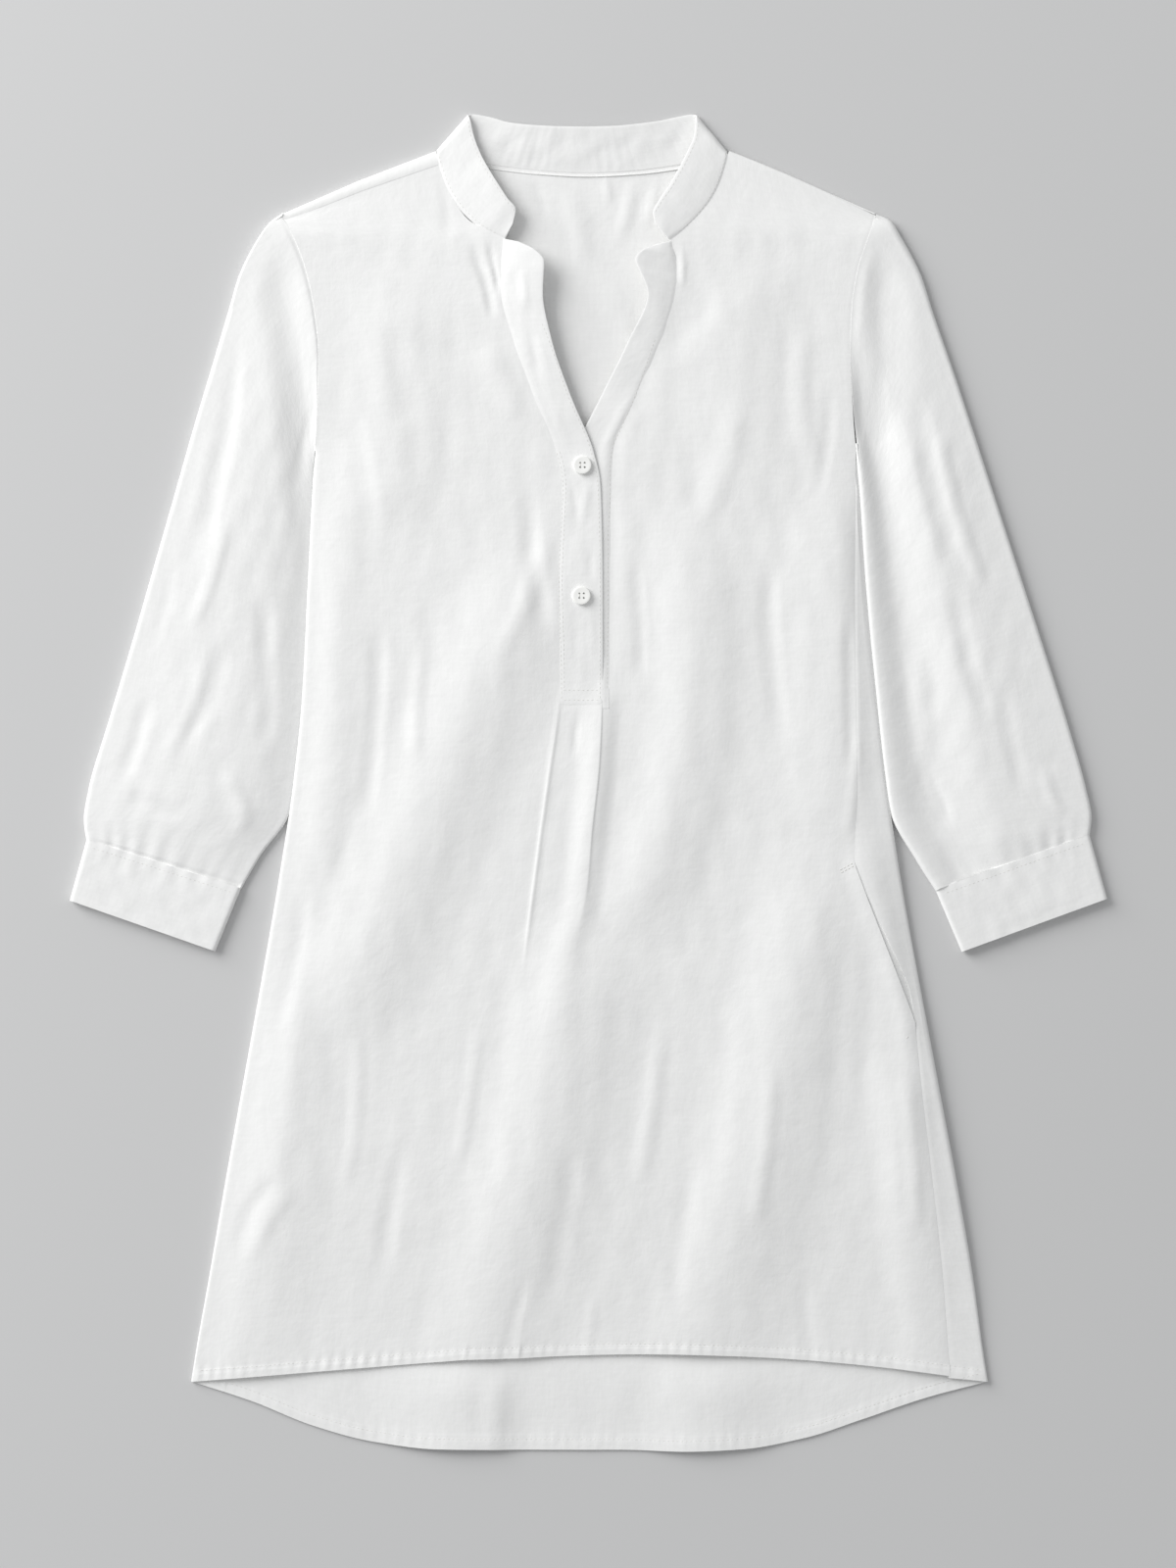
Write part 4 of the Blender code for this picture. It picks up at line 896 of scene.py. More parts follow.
@dataclass
class BodyForm:
    """The form that the laid-out body takes: its sections, heights and edges."""

    base: float = 6.0  # front where it lies in a valley
    edge_top: float = 4.2  # beside the folded side edges
    shoulder_top: float = 3.8
    edge_blend: float = 34.0  # width over which a side edge rises to the panel
    edge_right: float = 1.2  # how much higher the right one is
    edge_short: float = 0.55  # how much narrower its rise is
    edge_curve: float = 0.8  # below 1 a side edge rises more steeply at first
    middle: float = 60.0  # how far to each side the change from left to right reaches
    seam_clear: float = 0.6  # how far the left seam lies clear of the fold's round
    pocket_fall: float = 1.3  # how much lower the right edge is at the pocket, in edge_rights
    pocket_y: float = -108.0  # where it lies lowest
    pocket_run: float = 82.0
    pocket_open: float = 4.6  # how much of the pocket's facing shows
    dip_run: float = 3.0  # sections over which the back's dip fades up
    armhole_rise: float = 1.9  # how much higher the edge stands along the armhole
    armhole_run: float = 46.0
    pleat_wide: float = 17.0  # width over which the cloth rises to the pleat's edge
    pleat_fall: float = 13.0  # width over which it falls beyond the edge
    pleat_drop: float = 0.2  # share of the height that falls at once
    hem_low: float = 0.54  # share of the height that is left at the front's hem
    hem_run: float = 140.0
    groove: float = 0.16  # depth of the seams
    groove_run: float = 2.2
    lift: float = 2.4  # how far the open neck stands up
    lift_y: float = 334.0  # where it stands highest
    lift_wide: float = 150.0
    lift_up: float = 82.0  # how far toward the collar it reaches
    lift_down: float = 170.0  # how far toward the hem it reaches
    lean: float = 0.5  # how far the outline leans out past the shoulder
    crumple: float = 0.16  # height of the linen's small unevenness
    crumple_pitch: float = 21.0

    def __post_init__(self) -> None:
        """Make the tracks through the tables."""
        self.stations = tracks(BODY, range(len(BODY)))
        self.sides = tracks(BODY, [row.side_y for row in BODY])
        self.lap = tracks(PLACKET, [row.station for row in PLACKET])
        self.seam = tracks(SIDE_SEAM, [row.y for row in SIDE_SEAM])
        self.pleat = tracks(PLEAT, [row.y for row in PLEAT])
        self.dip = Track(np.linspace(0, 1, len(HEM_DIP)), HEM_DIP)

    def outline(self, side: Side, y: Array) -> Array:
        """Return the body's outline at a height, on one side."""
        edge = self.sides.left_x(y) if side is Side.LEFT else self.sides.right_x(y)
        return edge + side.value * self.lean * np.maximum(0, y - BODY[-1].side_y)

    def section(self, t: Array) -> Section:
        """Return the columns of the sections at stations, their ends on the side outline."""
        row = Section(*(column(t) for column in self.stations))
        return row._replace(left_x=self.outline(Side.LEFT, row.side_y),
                            right_x=self.outline(Side.RIGHT, row.side_y))

    def neck_lift(self, x: Array, y: Array) -> Array:
        """Return how far the cloth round the open neck stands up."""
        up = np.where(y > self.lift_y, self.lift_up, self.lift_down)
        return self.lift * bell(np.hypot(x / self.lift_wide, (y - self.lift_y) / up))

    def pleat_lift(self, x: Array, y: Array) -> Array:
        """Return how far the cloth stands up beside the pleat's folded edge."""
        away, run = x - self.pleat.x(y), self.pleat.run(y)
        beyond = self.pleat_drop * bell(away / run) + (1 - self.pleat_drop) * bell(
            away / np.maximum(run, self.pleat_fall))
        return self.pleat.rise(y) * np.where(away < 0, bell(away / self.pleat_wide), beyond)

    def edge_height(self, y: Array) -> Array:
        """Return the height of the panel's outer edge."""
        rise = ease((y - BODY[UNDERARM].side_y) / self.armhole_run)
        return (self.edge_top + self.armhole_rise * rise) * self.hem_share(y)

    def hem_share(self, y: Array) -> Array:
        """Return the share of its height that the front keeps near its hem."""
        return self.hem_low + (1 - self.hem_low) * ease((y - BODY[0].side_y) / self.hem_run)

    def seam_height(self, y: Array) -> Array:
        """Return the height of the armhole seam."""
        station = Track([row.side_y for row in BODY], range(len(BODY)))(y)
        return self.to_shoulder(self.edge_height(y), station, self.shoulder_top)

    def top(self, x: Array, y: Array) -> Array:
        """Return the height of the body's upper face at places."""
        height = self.base + fold_lift(x, y) + crease_lift(FRONT_CREASES, x, y)
        height = height + self.crumple * ripple(x, y, self.crumple_pitch, 1)
        height = height + self.neck_lift(x, y) + self.pleat_lift(x, y)
        height = height * self.hem_share(y)
        right = ease((x + self.middle) / (2 * self.middle))
        inside = np.minimum(x - self.sides.left_x(y), self.sides.right_x(y) - x)
        blend = self.edge_blend * (1 - (1 - self.edge_short) * right)
        share = ease(np.clip(inside / blend, 0, 1) ** self.edge_curve)
        below = 1 - ease((y - BODY[UNDERARM].side_y) / self.armhole_run)
        pocket = 1 - self.pocket_fall * bell((y - self.pocket_y) / self.pocket_run)
        edge = self.edge_height(y) + self.edge_right * self.hem_share(y) * right * below * pocket
        return edge + (height - edge) * share

    def to_shoulder(self, height: Array, t: Array, shoulder: Array | float) -> Array:
        """Return heights that run into the shoulder's over the last stations."""
        share = ease((t - NECK_NOTCH) / (SHOULDER - NECK_NOTCH))
        return height + (shoulder - height) * share

    def pocket_show(self, y: Array) -> Array:
        """Return how much of the pocket's facing shows beside the mouth."""
        rise = (y - POCKET_TOP) / (POCKET_WIDEST - POCKET_TOP)
        fall = (y - POCKET_FOOT) / (POCKET_WIDEST - POCKET_FOOT)
        return self.pocket_open * ease(np.minimum(rise, fall))

    def seam_inset(self, y: Array, top: Array) -> Array:
        """Return how far the left side seam lies in from the fold over it, where that is top high."""
        return np.maximum(self.seam.left(y), top / 2 + self.seam_clear)

    def right_y(self, row: Section, share: Array | float) -> Array:
        """Return how far up sections lie, at shares of the way from the right slit to the side."""
        y = row.slit_right_y + (row.side_y - row.slit_right_y) * share
        return y + row.arc * 4 * share * (1 - share)

    def hem_dip(self, x: Array, t: Array) -> Array:
        """Return how far the back's hem lies below the line between its corners."""
        row = BODY[0]
        share = (x - row.left_x) / (row.right_x - row.left_x)
        return self.dip(share) * (1 - ease(t / self.dip_run))


def arc_turns(steps: int) -> Array:
    """Return turns in radians round a folded edge, from beneath it to on top of it."""
    return np.linspace(-math.pi / 2, math.pi / 2, 2 * steps + 1)


@dataclass
class Hem:
    """A narrow hem, folded twice and stitched, with small puckers from the feed."""

    depth: float = 8.0
    rise: float = 0.34  # the extra layers
    groove: float = 0.22  # how far the stitches pull in
    pucker: float = 0.38
    pitch: float = 7.5  # between two puckers
    turn: float = 1.2  # width over which its upper edge falls
    inset: float = 1.2  # how far the stitches lie inside that edge
    stitch_run: float = 1.6
    deepest: float = 0.75  # where the puckers are highest, in depths
    pucker_run: float = 1.1

    def lift(self, away: Array, along: Array, seed: int) -> Array:
        """Return the hem's relief.

        Args:
            away: Distance from the hem's edge.
            along: Distance along it.
            seed: Start of the random draw.

        Returns:
            The height to add.
        """
        band = self.rise * (1 - ease((away - self.depth + self.turn / 2) / self.turn))
        dent = -self.groove * bell((away - self.depth + self.inset) / self.stitch_run)
        rng = np.random.default_rng(SEED + seed)
        sway = 2.2 * np.sin(along / 31 + rng.uniform(0, 6))
        wave = np.sin(2 * math.pi * along / self.pitch + sway)
        wave = wave * (0.65 + 0.35 * np.sin(along / 17 + rng.uniform(0, 6)))
        reach = bell((away - self.depth * self.deepest) / (self.depth * self.pucker_run))
        return band + dent + self.pucker * wave * reach

    def at(self, x: Array, t: Array, seed: int) -> Array:
        """Return the relief at places across and at stations."""
        return self.lift(t * HEM_SECTION + 0 * x, x + 0 * t, seed)

    def at_least_flat(self, x: Array, t: Array, seed: int) -> Array:
        """Return the relief on the cloth that lies on the floor, where it can't sink."""
        return np.maximum(self.at(x, t, seed), 0) * (t < 2)


FRONT_FEED, BACK_FEED = 11, 23  # starts of the draws for the two hems' puckers
HEM_ROWS = (0, 1.2, 2.6, 4.2, 5.6, 6.6, 7.4, 8.2, 9.2, 10.6, 12.6, 15.2)


def hemmed_rows(keys: Sequence[tuple[float, ...]], step: float) -> Array:
    """Return the stations of rows about a step apart, closer together in the hem."""
    even, hem = even_rows(keys, step), np.array(HEM_ROWS) / HEM_SECTION
    return np.concatenate((hem, even[even > hem[-1] + 0.1]))


# -------- front and back

@dataclass
class FrontPanel:
    """The front, from its seam beneath the left fold, over the top, to the right side seam."""

    form: BodyForm
    wall: float = 0.75
    row_step: float = 4.6
    arc_steps: int = 4
    seam_columns: int = 8
    left_columns: int = 96
    right_columns: int = 112
    slit_dip: float = 0.6  # how far the right slit edge lies below the panel
    lip: float = 2.6  # how far the pocket's mouth stands up, in grooves
    lip_run: float = 12.0
    armhole: float = 0.8  # depth of the right armhole's seam line, in grooves
    slit_run: float = 11.0
    slit_near: tuple = (0.9925, 0.9965, 1.0)  # shares of the last columns beside the left slit
    neck_top: float = 4.0  # height of the panel where shoulder and collar meet
    lowest: float = 2.0  # least height of the panel
    mouth_top: float = -50.0  # where the mouth's raised lip begins and ends
    mouth_foot: float = -163.0
    mouth_ease: float = 7.0
    hem_begin: float = 4.0  # how far inside the fold the hem beneath begins
    hem_ease: float = 5.0
    pleat_lead: tuple = (0.022, 0.044)  # shares of the first columns of the pleat
    pleat_near: tuple = (-0.7, -0.25, 0.15, 0.5, 0.85, 1.2)  # columns about its folded edge
    hem: Hem = field(default_factory=Hem)

    def rows(self) -> Array:
        """Return the stations of the rows, closer together in the hem."""
        keys = [(row.side_y, row.left_x, row.slit_left_x, row.slit_left_y) for row in BODY]
        return hemmed_rows(keys, self.row_step)

    def surface(self, x: Array, y: Array, t: Array, slit: Side, side: Array) -> Array:
        """Return points of the panel between a slit edge and the side.

        Args:
            x: Places across, a row for each station.
            y: Places along.
            t: The stations, as a column.
            slit: Which of the two slit edges the panel runs to.
            side: How near each place is to the slit, from 0 at the side to 1.

        Returns:
            The points.
        """
        height = self.form.top(x, y)
        if slit is Side.RIGHT:
            slit_x = self.form.section(t).slit_right_x
            low = ease((t - PLACKET_FOOT) / 0.6) * (1 - ease((t - UNDERARM) / 2))
            height = height - self.slit_dip * low * bell((x - slit_x) / self.slit_run)
        shoulder = self.form.shoulder_top + (self.neck_top - self.form.shoulder_top) * side
        height = self.form.to_shoulder(height, t, shoulder) + self.hem.at(x, t, FRONT_FEED)
        if slit is Side.RIGHT:
            height = height - self.form.groove * self.seam_near(x, t)
        return np.stack((x, y + 0 * x, np.maximum(height, self.lowest)), axis=2)

    def seam_near(self, x: Array, t: Array) -> Array:
        """Return how near places are to the right armhole or side seam, below 0 on the lip."""
        row = self.form.section(t)
        edge = row.right_x - self.form.seam.right(row.side_y) * (t <= UNDERARM)
        mouth = np.minimum(self.mouth_top - row.side_y, row.side_y - self.mouth_foot)
        mouth = ease(mouth / self.mouth_ease)
        lip = self.lip * mouth * bell((edge - x) / self.lip_run)
        deep = 1 + (self.armhole - 1) * (t >= UNDERARM)
        return deep * (1 - ease((edge - x) / self.form.groove_run)) * (1 - mouth) - lip

    def left_block(self, t: Array) -> Array:
        """Return the points from the seam beneath the left fold to the placket."""
        row = self.form.section(t)
        top = self.form.to_shoulder(self.form.top(row.left_x, row.side_y), t, self.form.shoulder_top)
        under = row.left_x + self.form.seam_inset(row.side_y, top)
        turns = arc_turns(self.arc_steps)
        edge_x = row.left_x + top / 2 * (1 - np.cos(turns))
        edge_z = np.where(t <= UNDERARM, top / 2 * (1 + np.sin(turns)), top)
        lower = np.sin(turns) < 0
        edge_y = row.side_y - self.form.hem_dip(edge_x, t) * lower
        arc = np.stack((edge_x, edge_y, edge_z), axis=2)
        share = np.linspace(0, 1, self.seam_columns + 1)[:-1]
        seam_x = under + (edge_x[:, :1] - under) * share
        under_z = self.hem.at_least_flat(seam_x, t, BACK_FEED)
        under_z = under_z * ease((seam_x - row.left_x - self.hem_begin) / self.hem_ease)
        seam = np.stack((seam_x, row.side_y - self.form.hem_dip(seam_x, t), under_z), axis=2)
        share = np.linspace(0, 1, self.left_columns + 1)[1:-1]
        share = np.concatenate((share, self.slit_near))
        x = edge_x[:, -1:] + (row.slit_left_x - edge_x[:, -1:]) * share
        y = row.side_y + (row.slit_left_y - row.side_y) * share
        top = self.surface(x, y, t, Side.LEFT, share + 0 * x)
        return np.concatenate((seam, arc, top), axis=1)

    def right_block(self, t: Array) -> Array:
        """Return the points from the placket to the right side seam."""
        row = self.form.section(t)
        seam_x = row.right_x - self.form.seam.right(row.side_y) * (t <= UNDERARM)
        share = np.linspace(0, 1, self.right_columns + 1)
        x = row.slit_right_x + (seam_x - row.slit_right_x) * share
        share = (x - row.slit_right_x) / (row.right_x - row.slit_right_x)
        return self.surface(x, self.form.right_y(row, share), t, Side.RIGHT, 1 - share)

    def pleat_block(self, t: Array, left: Array, right: Array) -> Array:
        """Return the points between the two slit edges, closest together at the pleat's edge."""
        y_mid = (left[:, 1:2] + right[:, 1:2]) / 2
        edge = np.minimum(self.form.pleat.x(y_mid), right[:, :1] - 1.5)
        lead = np.concatenate((self.pleat_lead, np.arange(1, 13) / 13))
        beside = edge + np.array(self.pleat_near)
        x = np.concatenate((left[:, :1] + (edge - 1.3 - left[:, :1]) * lead, beside), axis=1)
        share = (x - left[:, :1]) / (right[:, :1] - left[:, :1])
        y = left[:, 1:2] + (right[:, 1:2] - left[:, 1:2]) * share
        return np.stack((x, y, self.form.top(x, y) + self.hem.at(x, t, FRONT_FEED)), axis=2)

    def build(self, material: Finish) -> Piece:
        """Make the front."""
        t = self.rows()[:, None]
        left, right = self.left_block(t), self.right_block(t)
        pleat = self.pleat_block(t, left[:, -1], right[:, 0])
        points = np.concatenate((left, pleat, right), axis=1)
        slit_left, slit_right = left.shape[1] - 1, left.shape[1] + pleat.shape[1]
        apex = self.seam_columns + self.arc_steps
        turns = (30, 60, 90)
        points = np.concatenate((points, self.shoulder(points[-1], slit_right, turns)))
        present = np.ones((len(points) - 1, points.shape[1] - 1), bool)
        flat = t[:, 0]
        cells = np.arange(points.shape[1] - 1)
        for i in range(len(points) - 1):
            if i >= len(flat) - 1:
                present[i] = cells >= slit_right
                continue
            if flat[i] >= UNDERARM - 1e-6:
                present[i, :apex] = False
            if flat[i] >= PLACKET_FOOT - 1e-6:
                present[i, slit_left:slit_right] = False
        obj = Weave(points, present).build("front_shell", self.wall)
        return dress(obj, material, ("front",))

    def shoulder(self, last: Array, slit_right: int, turns: Sequence[float]) -> Array:
        """Return rows that carry the right front over the fold of the shoulder."""
        outward = np.array((last[slit_right, 1] - last[-1, 1], last[-1, 0] - last[slit_right, 0]))
        outward /= np.linalg.norm(outward)
        rows = []
        for turn in turns:
            row = last.copy()
            radius = last[slit_right:, 2] / 2
            angle = math.radians(90 - turn)
            row[slit_right:, :2] += outward * (radius * math.cos(angle))[:, None]
            row[slit_right:, 2] = radius * (1 + math.sin(angle))
            rows.append(row)
        return np.array(rows)


@dataclass
class BackPanel:
    """The back: flat beneath, round the right fold and over the left shoulder."""

    form: BodyForm
    wall: float = 0.75
    row_step: float = 6.0
    columns: int = 190
    neck_rows: int = 18
    arc_steps: int = 4
    roll_columns: int = 12
    gap: float = -0.4  # between the seam edges beneath, which lap a little
    under_front: float = 1.3  # how far the side seam's edge lies beneath the front's
    lap_tip: float = 4.4  # how far the back comes over the left shoulder at its point
    lap_neck: float = 8.3  # the same beside the collar
    lap_lean: float = 0.2
    lap_reach: float = 1.7  # how far its corner reaches over the sleeve
    lap_roll: float = 0.3  # how much its fold stands above the rest of it
    lap_turn: float = 0.5  # how round its fold is, from the side to the top
    lap_edge: tuple = ((-0.7, 0.16), (0.3, 0.12), (1.0, 0.04), (1.9, -0.6))  # its turned edge
    seam_groove: float = 0.24  # depth of the side seam on the strip that shows on top
    crumple: float = 0.12  # height of the linen's small unevenness
    crumple_pitch: float = 24.0
    hem: Hem = field(default_factory=lambda: Hem(pucker=0.26))

    def shares(self) -> tuple[Array, int, int]:
        """Return the columns' shares, and the indices of the two ends of the neckline."""
        wide = BACK_TOP[-1][0] - BACK_TOP[0][0]
        keys = np.array([(x - BACK_TOP[0][0]) / wide for x, _ in BACK_TOP])
        left, right = keys[NECK_LEFT], keys[NECK_RIGHT]
        counts = [max(2, round(self.columns * part)) for part in (left, right - left, 1 - right)]
        parts = [np.linspace(0, left, counts[0] + 1)[:-1],
                 np.linspace(left, right, counts[1] + 1)[:-1],
                 np.linspace(right, 1, counts[2] + 1)]
        return np.concatenate(parts), counts[0], counts[0] + counts[1]

    def rise(self, x: Array, y: Array) -> Array:
        """Return how far the back's sheet lifts off the surface, inside the body and at its hem."""
        inside = np.minimum(x - self.form.sides.left_x(y), self.form.sides.right_x(y) - x)
        lift = crease_lift(BACK_CREASES, x, y, fade=0.35)
        lift = lift + self.crumple * ripple(x, y, self.crumple_pitch, 5)
        return np.maximum(lift, 0) * ease((inside - 10) / 24)

    def rows(self) -> Array:
        """Return the stations of the straight rows, closer together in the hem."""
        straight = BODY[:BACK_STRAIGHT + 1]
        keys = [(row.side_y, row.left_x, row.left_x, row.side_y) for row in straight]
        return hemmed_rows(keys, self.row_step)

    def straight(self, t: Array, shares: Array) -> Array:
        """Return the straight rows: the flat part, the right fold and the strip on top."""
        form = self.form
        row = form.section(t)
        below = t <= UNDERARM
        top = form.top(row.right_x, row.side_y)
        left_top = form.top(row.left_x, row.side_y)
        inset = form.seam_inset(row.side_y, left_top) + self.gap
        start = row.left_x + inset * below
        end = row.right_x - top / 2 * below
        x = start + (end - start) * shares
        y = row.side_y - form.hem_dip(x, t)
        z = self.rise(x, y) + self.hem.at_least_flat(x, t, BACK_FEED)
        flat = np.stack((x, y, z), axis=2)
        turns = arc_turns(self.arc_steps)[1:]
        edge_x = row.right_x - top / 2 * (1 - np.cos(turns))
        edge_z = top / 2 * (1 + np.sin(turns))
        edge_y = row.side_y - form.hem_dip(edge_x, t) * (np.sin(turns) < 0)
        arc = np.stack((edge_x, edge_y + 0 * edge_x, edge_z), axis=2)
        mouth = row.right_x - form.seam.right(row.side_y)
        show = form.pocket_show(row.side_y)
        seam_x = mouth + show - self.under_front * (1 - ease(show)) * below
        seam_x = np.minimum(seam_x, edge_x[:, -1:] - 0.2)
        share = np.linspace(0, 1, self.roll_columns + 1)[1:]
        strip_x = edge_x[:, -1:] + (seam_x - edge_x[:, -1:]) * share
        share = (strip_x - row.slit_right_x) / (row.right_x - row.slit_right_x)
        strip_y = row.side_y + row.arc * 4 * share * (1 - share)
        strip_z = form.top(strip_x, row.side_y + 0 * strip_x)
        strip_z = strip_z + self.hem.at(strip_x, t, FRONT_FEED)
        strip_z = strip_z - self.seam_groove * (1 - ease((strip_x - mouth) / form.groove_run))
        strip = np.stack((strip_x, strip_y, strip_z), axis=2)
        return np.concatenate((flat, arc, strip), axis=1)

    def neck(self, shares: Array, left: int, right: int) -> Array:
        """Return the rows between the straight ones and the shoulders and neckline."""
        form = self.form
        share = (np.arange(1, self.neck_rows + 1) / self.neck_rows)[:, None]
        t = BACK_STRAIGHT + (SHOULDER - BACK_STRAIGHT) * share
        row = form.section(t)
        x = row.left_x + (row.right_x - row.left_x) * shares
        top_x = BACK_TOP[0][0] + (BACK_TOP[-1][0] - BACK_TOP[0][0]) * shares
        top_y = np.interp(top_x, [p[0] for p in BACK_TOP], [p[1] for p in BACK_TOP])
        index = np.arange(len(shares))
        rise = top_y - BODY[-1].side_y
        rise = rise - form.shoulder_top / 2 * ((index <= left) | (index >= right))
        power = np.where((index == 0) | (index == len(shares) - 1), 4, 1)
        y = row.side_y + rise * share ** power
        return np.stack((x, y, self.rise(x, y) * (1 - share ** 6)), axis=2)

    def build(self, material: Finish) -> Piece:
        """Make the back."""
        form = self.form
        shares, left, right = self.shares()
        t = self.rows()[:, None]
        straight = self.straight(t, shares)
        neck = self.neck(shares, left, right)
        pad = np.repeat(neck[:, -1:], straight.shape[1] - neck.shape[1], axis=1)
        neck = np.concatenate((neck, pad), axis=1)
        last, radius, over = neck[-1], form.shoulder_top / 2, []
        share = np.minimum(np.arange(len(last)) / left, 1)
        lean = self.lap_lean * (np.arange(len(last)) <= left)
        seam = self.lap_tip + (self.lap_neck - self.lap_tip) * share
        turns = np.radians((-60, -30, 0, 30, 60, 90))
        stops = [(self.lap_turn * radius * (1 - np.cos(angle)) + 0 * share,
                  radius * (1 + np.sin(angle)) + self.lap_roll * max(math.sin(angle), 0) ** 3)
                 for angle in turns]
        stops += [(seam + tuck, 2 * radius + lift + 0.2 * share) for tuck, lift in self.lap_edge]
        for run, height in stops:
            row = last.copy()
            row[:, 0] += lean * run
            row[:, 1] += radius - run
            row[:, 2] = height
            row[:2, 0] -= self.lap_reach * ease(row[:2, 2] / radius - 1) * (1, 0.4)
            over.append(row)
        points = np.concatenate((straight, neck, np.array(over)))
        present = np.ones((len(points) - 1, points.shape[1] - 1), bool)
        cells = np.arange(points.shape[1] - 1)
        flat, rows, top = len(shares) - 1, len(t), len(t) - 1 + self.neck_rows
        for i in range(len(points) - 1):
            if i >= top + 3:
                present[i] = cells < left
            elif i >= top:
                present[i] = (cells < left) | ((cells >= right) & (cells < flat))
            elif i >= rows or t[i, 0] >= UNDERARM - 1e-6:
                present[i, flat:] = False
        obj = Weave(points, present).build("back_shell", self.wall, 1)
        return dress(obj, material, ("back",))


# -------- placket and collar

@dataclass
class Placket:
    """The two stitched bands of the half placket."""

    front: FrontPanel
    wall: float = 0.85
    round_edge: float = 0.36  # radius of their folded edges
    rows: int = 90
    columns: int = 14
    over_front: float = 1.3  # how far a band's stitched edge lies over the front
    raise_over: float = 0.16  # how far a band stands above the front
    sink: float = 0.08  # how far its turned edge sinks into the front
    rise_run: float = 3.4  # width over which it rises
    over_under: float = 0.7  # the upper band's free edge above the panel
    under_over: float = 0.95  # the lower band's free edge below the panel
    stand_over: float = 1.4  # how far the open bands stand up, against the solids
    stand_under: float = 1.1
    open_lift: float = 1.6  # how much higher the upper band's edge stands beside the V
    foot_run: float = 3.4  # how far its foot runs on below the slit
    roll: float = 0.5  # how far the lower band rolls up beside the upper one's edge
    wide: float = 26.0  # the bands' width
    settle: float = 26.0  # length above the foot over which it leaves the front's form
    crown_over: float = 0.35  # how far the open bands are domed
    crown_under: float = 0.3
    worn_over: float = 0.16  # height of their small unevenness
    worn_under: float = 0.12

    def stations(self) -> Array:
        """Return the stations of the bands' rows, as a column."""
        below = self.foot_run / FOOT_SECTION
        foot = PLACKET_FOOT - below * np.array((1, 0.8, 0.6, 0.4, 0.2, 0, -0.4))
        above = np.linspace(PLACKET_FOOT + 0.07, NECK_NOTCH, self.rows)
        return np.concatenate((foot, above))[:, None]

    def opened(self, t: Array) -> Array:
        """Return how far the bands have parted at stations, from 0 to 1."""
        return ease((t - UNDERARM) / 1.5)

    def shares(self) -> Array:
        """Return the columns' shares, closer together at the sewn edge."""
        return np.concatenate(((0, 0.03, 0.06, 0.09), np.linspace(0.13, 1, self.columns)))

    def laps(self, t: Array) -> Lap:
        """Return the bands' free edges at stations."""
        lap = Lap(*(column(t) for column in self.front.form.lap))
        below = np.minimum(t - PLACKET_FOOT, 0) * FOOT_SECTION
        return lap._replace(over_y=lap.over_y + below, under_y=lap.under_y + below)

    def edge(self, t: Array, side: Side) -> Array:
        """Return the points of the front's slit edge that a band is sewn to."""
        row = self.front.form.section(t)
        if side is Side.LEFT:
            x, y = row.slit_left_x, row.slit_left_y
        else:
            x, y = row.slit_right_x, row.slit_right_y
        return self.front.surface(x, y, t, side, 1 + 0 * x)[:, 0]

    def turned_in(self, share: Array) -> Array:
        """Return how a band's sewn edge rises out of the front, at shares of its width."""
        return (self.raise_over + self.sink) * ease(share * self.wide / self.rise_run) - self.sink

    def overlap(self, t: Array, share: Array) -> Array:
        """Return points of the upper band, from its sewn edge to its free one."""
        form = self.front.form
        start, lap, row = self.edge(t, Side.LEFT), self.laps(t), form.section(t)
        opened = self.opened(t)
        open_z = start[:, 2:] + self.stand_over * (lap.over_z - row.slit_left_z) + self.open_lift
        shut_z = form.top(lap.over_x, lap.over_y) + self.over_under
        end = np.concatenate((lap.over_x, lap.over_y, shut_z + (open_z - shut_z) * opened), axis=1)
        start[:, 0] -= self.over_front
        points = start[:, None] + (end - start)[:, None] * share[None, :, None]
        x, y = points[:, :, 0], points[:, :, 1]
        crown = self.crown_over * np.sin(math.pi * share)[None, :] * opened
        worn = self.worn_over * ripple(x, y, 13, 31)
        worn = worn * np.sin(math.pi * np.clip(share, 0.05, 0.95))
        level = (t - PLACKET_FOOT) * FOOT_SECTION
        foot = 2.2 * self.raise_over * (1 - ease(level / self.foot_run + 1))
        worn = worn * ease(level / 8)
        points[:, :, 2] += (form.top(x, y) - points[:, :, 2]) * (1 - ease(level / self.settle))
        turned = self.turned_in(share)[None, :]
        points[:, :, 2] += crown + worn + self.pulls(x, y) + turned - foot
        return points

    def pulls(self, x: Array, y: Array) -> Array:
        """Return the small drag lines that the buttons and the stitched foot make."""
        lines = (Crease(-12, 196, -6, 168, 1, 3.5, 3.5, -0.5),
                 Crease(2, 196, -2, 170, -1, 3, 4, 0.35),
                 Crease(-12, 150, -9, 132, 0, 3.5, 3.5, 0.4), Crease(3, 152, 1, 134, 0, 3, 3, -0.4),
                 Crease(-10, 110, -8, 80, 1, 4, 4, -0.35), Crease(4, 108, 3, 78, 0, 3, 4, 0.3),
                 Crease(-40, 300, -32, 262, 1, 5, 5, -0.5), Crease(-44, 336, -40, 304, 1, 4, 5, 0.5))
        return crease_lift(lines, x, y, fade=0.4)

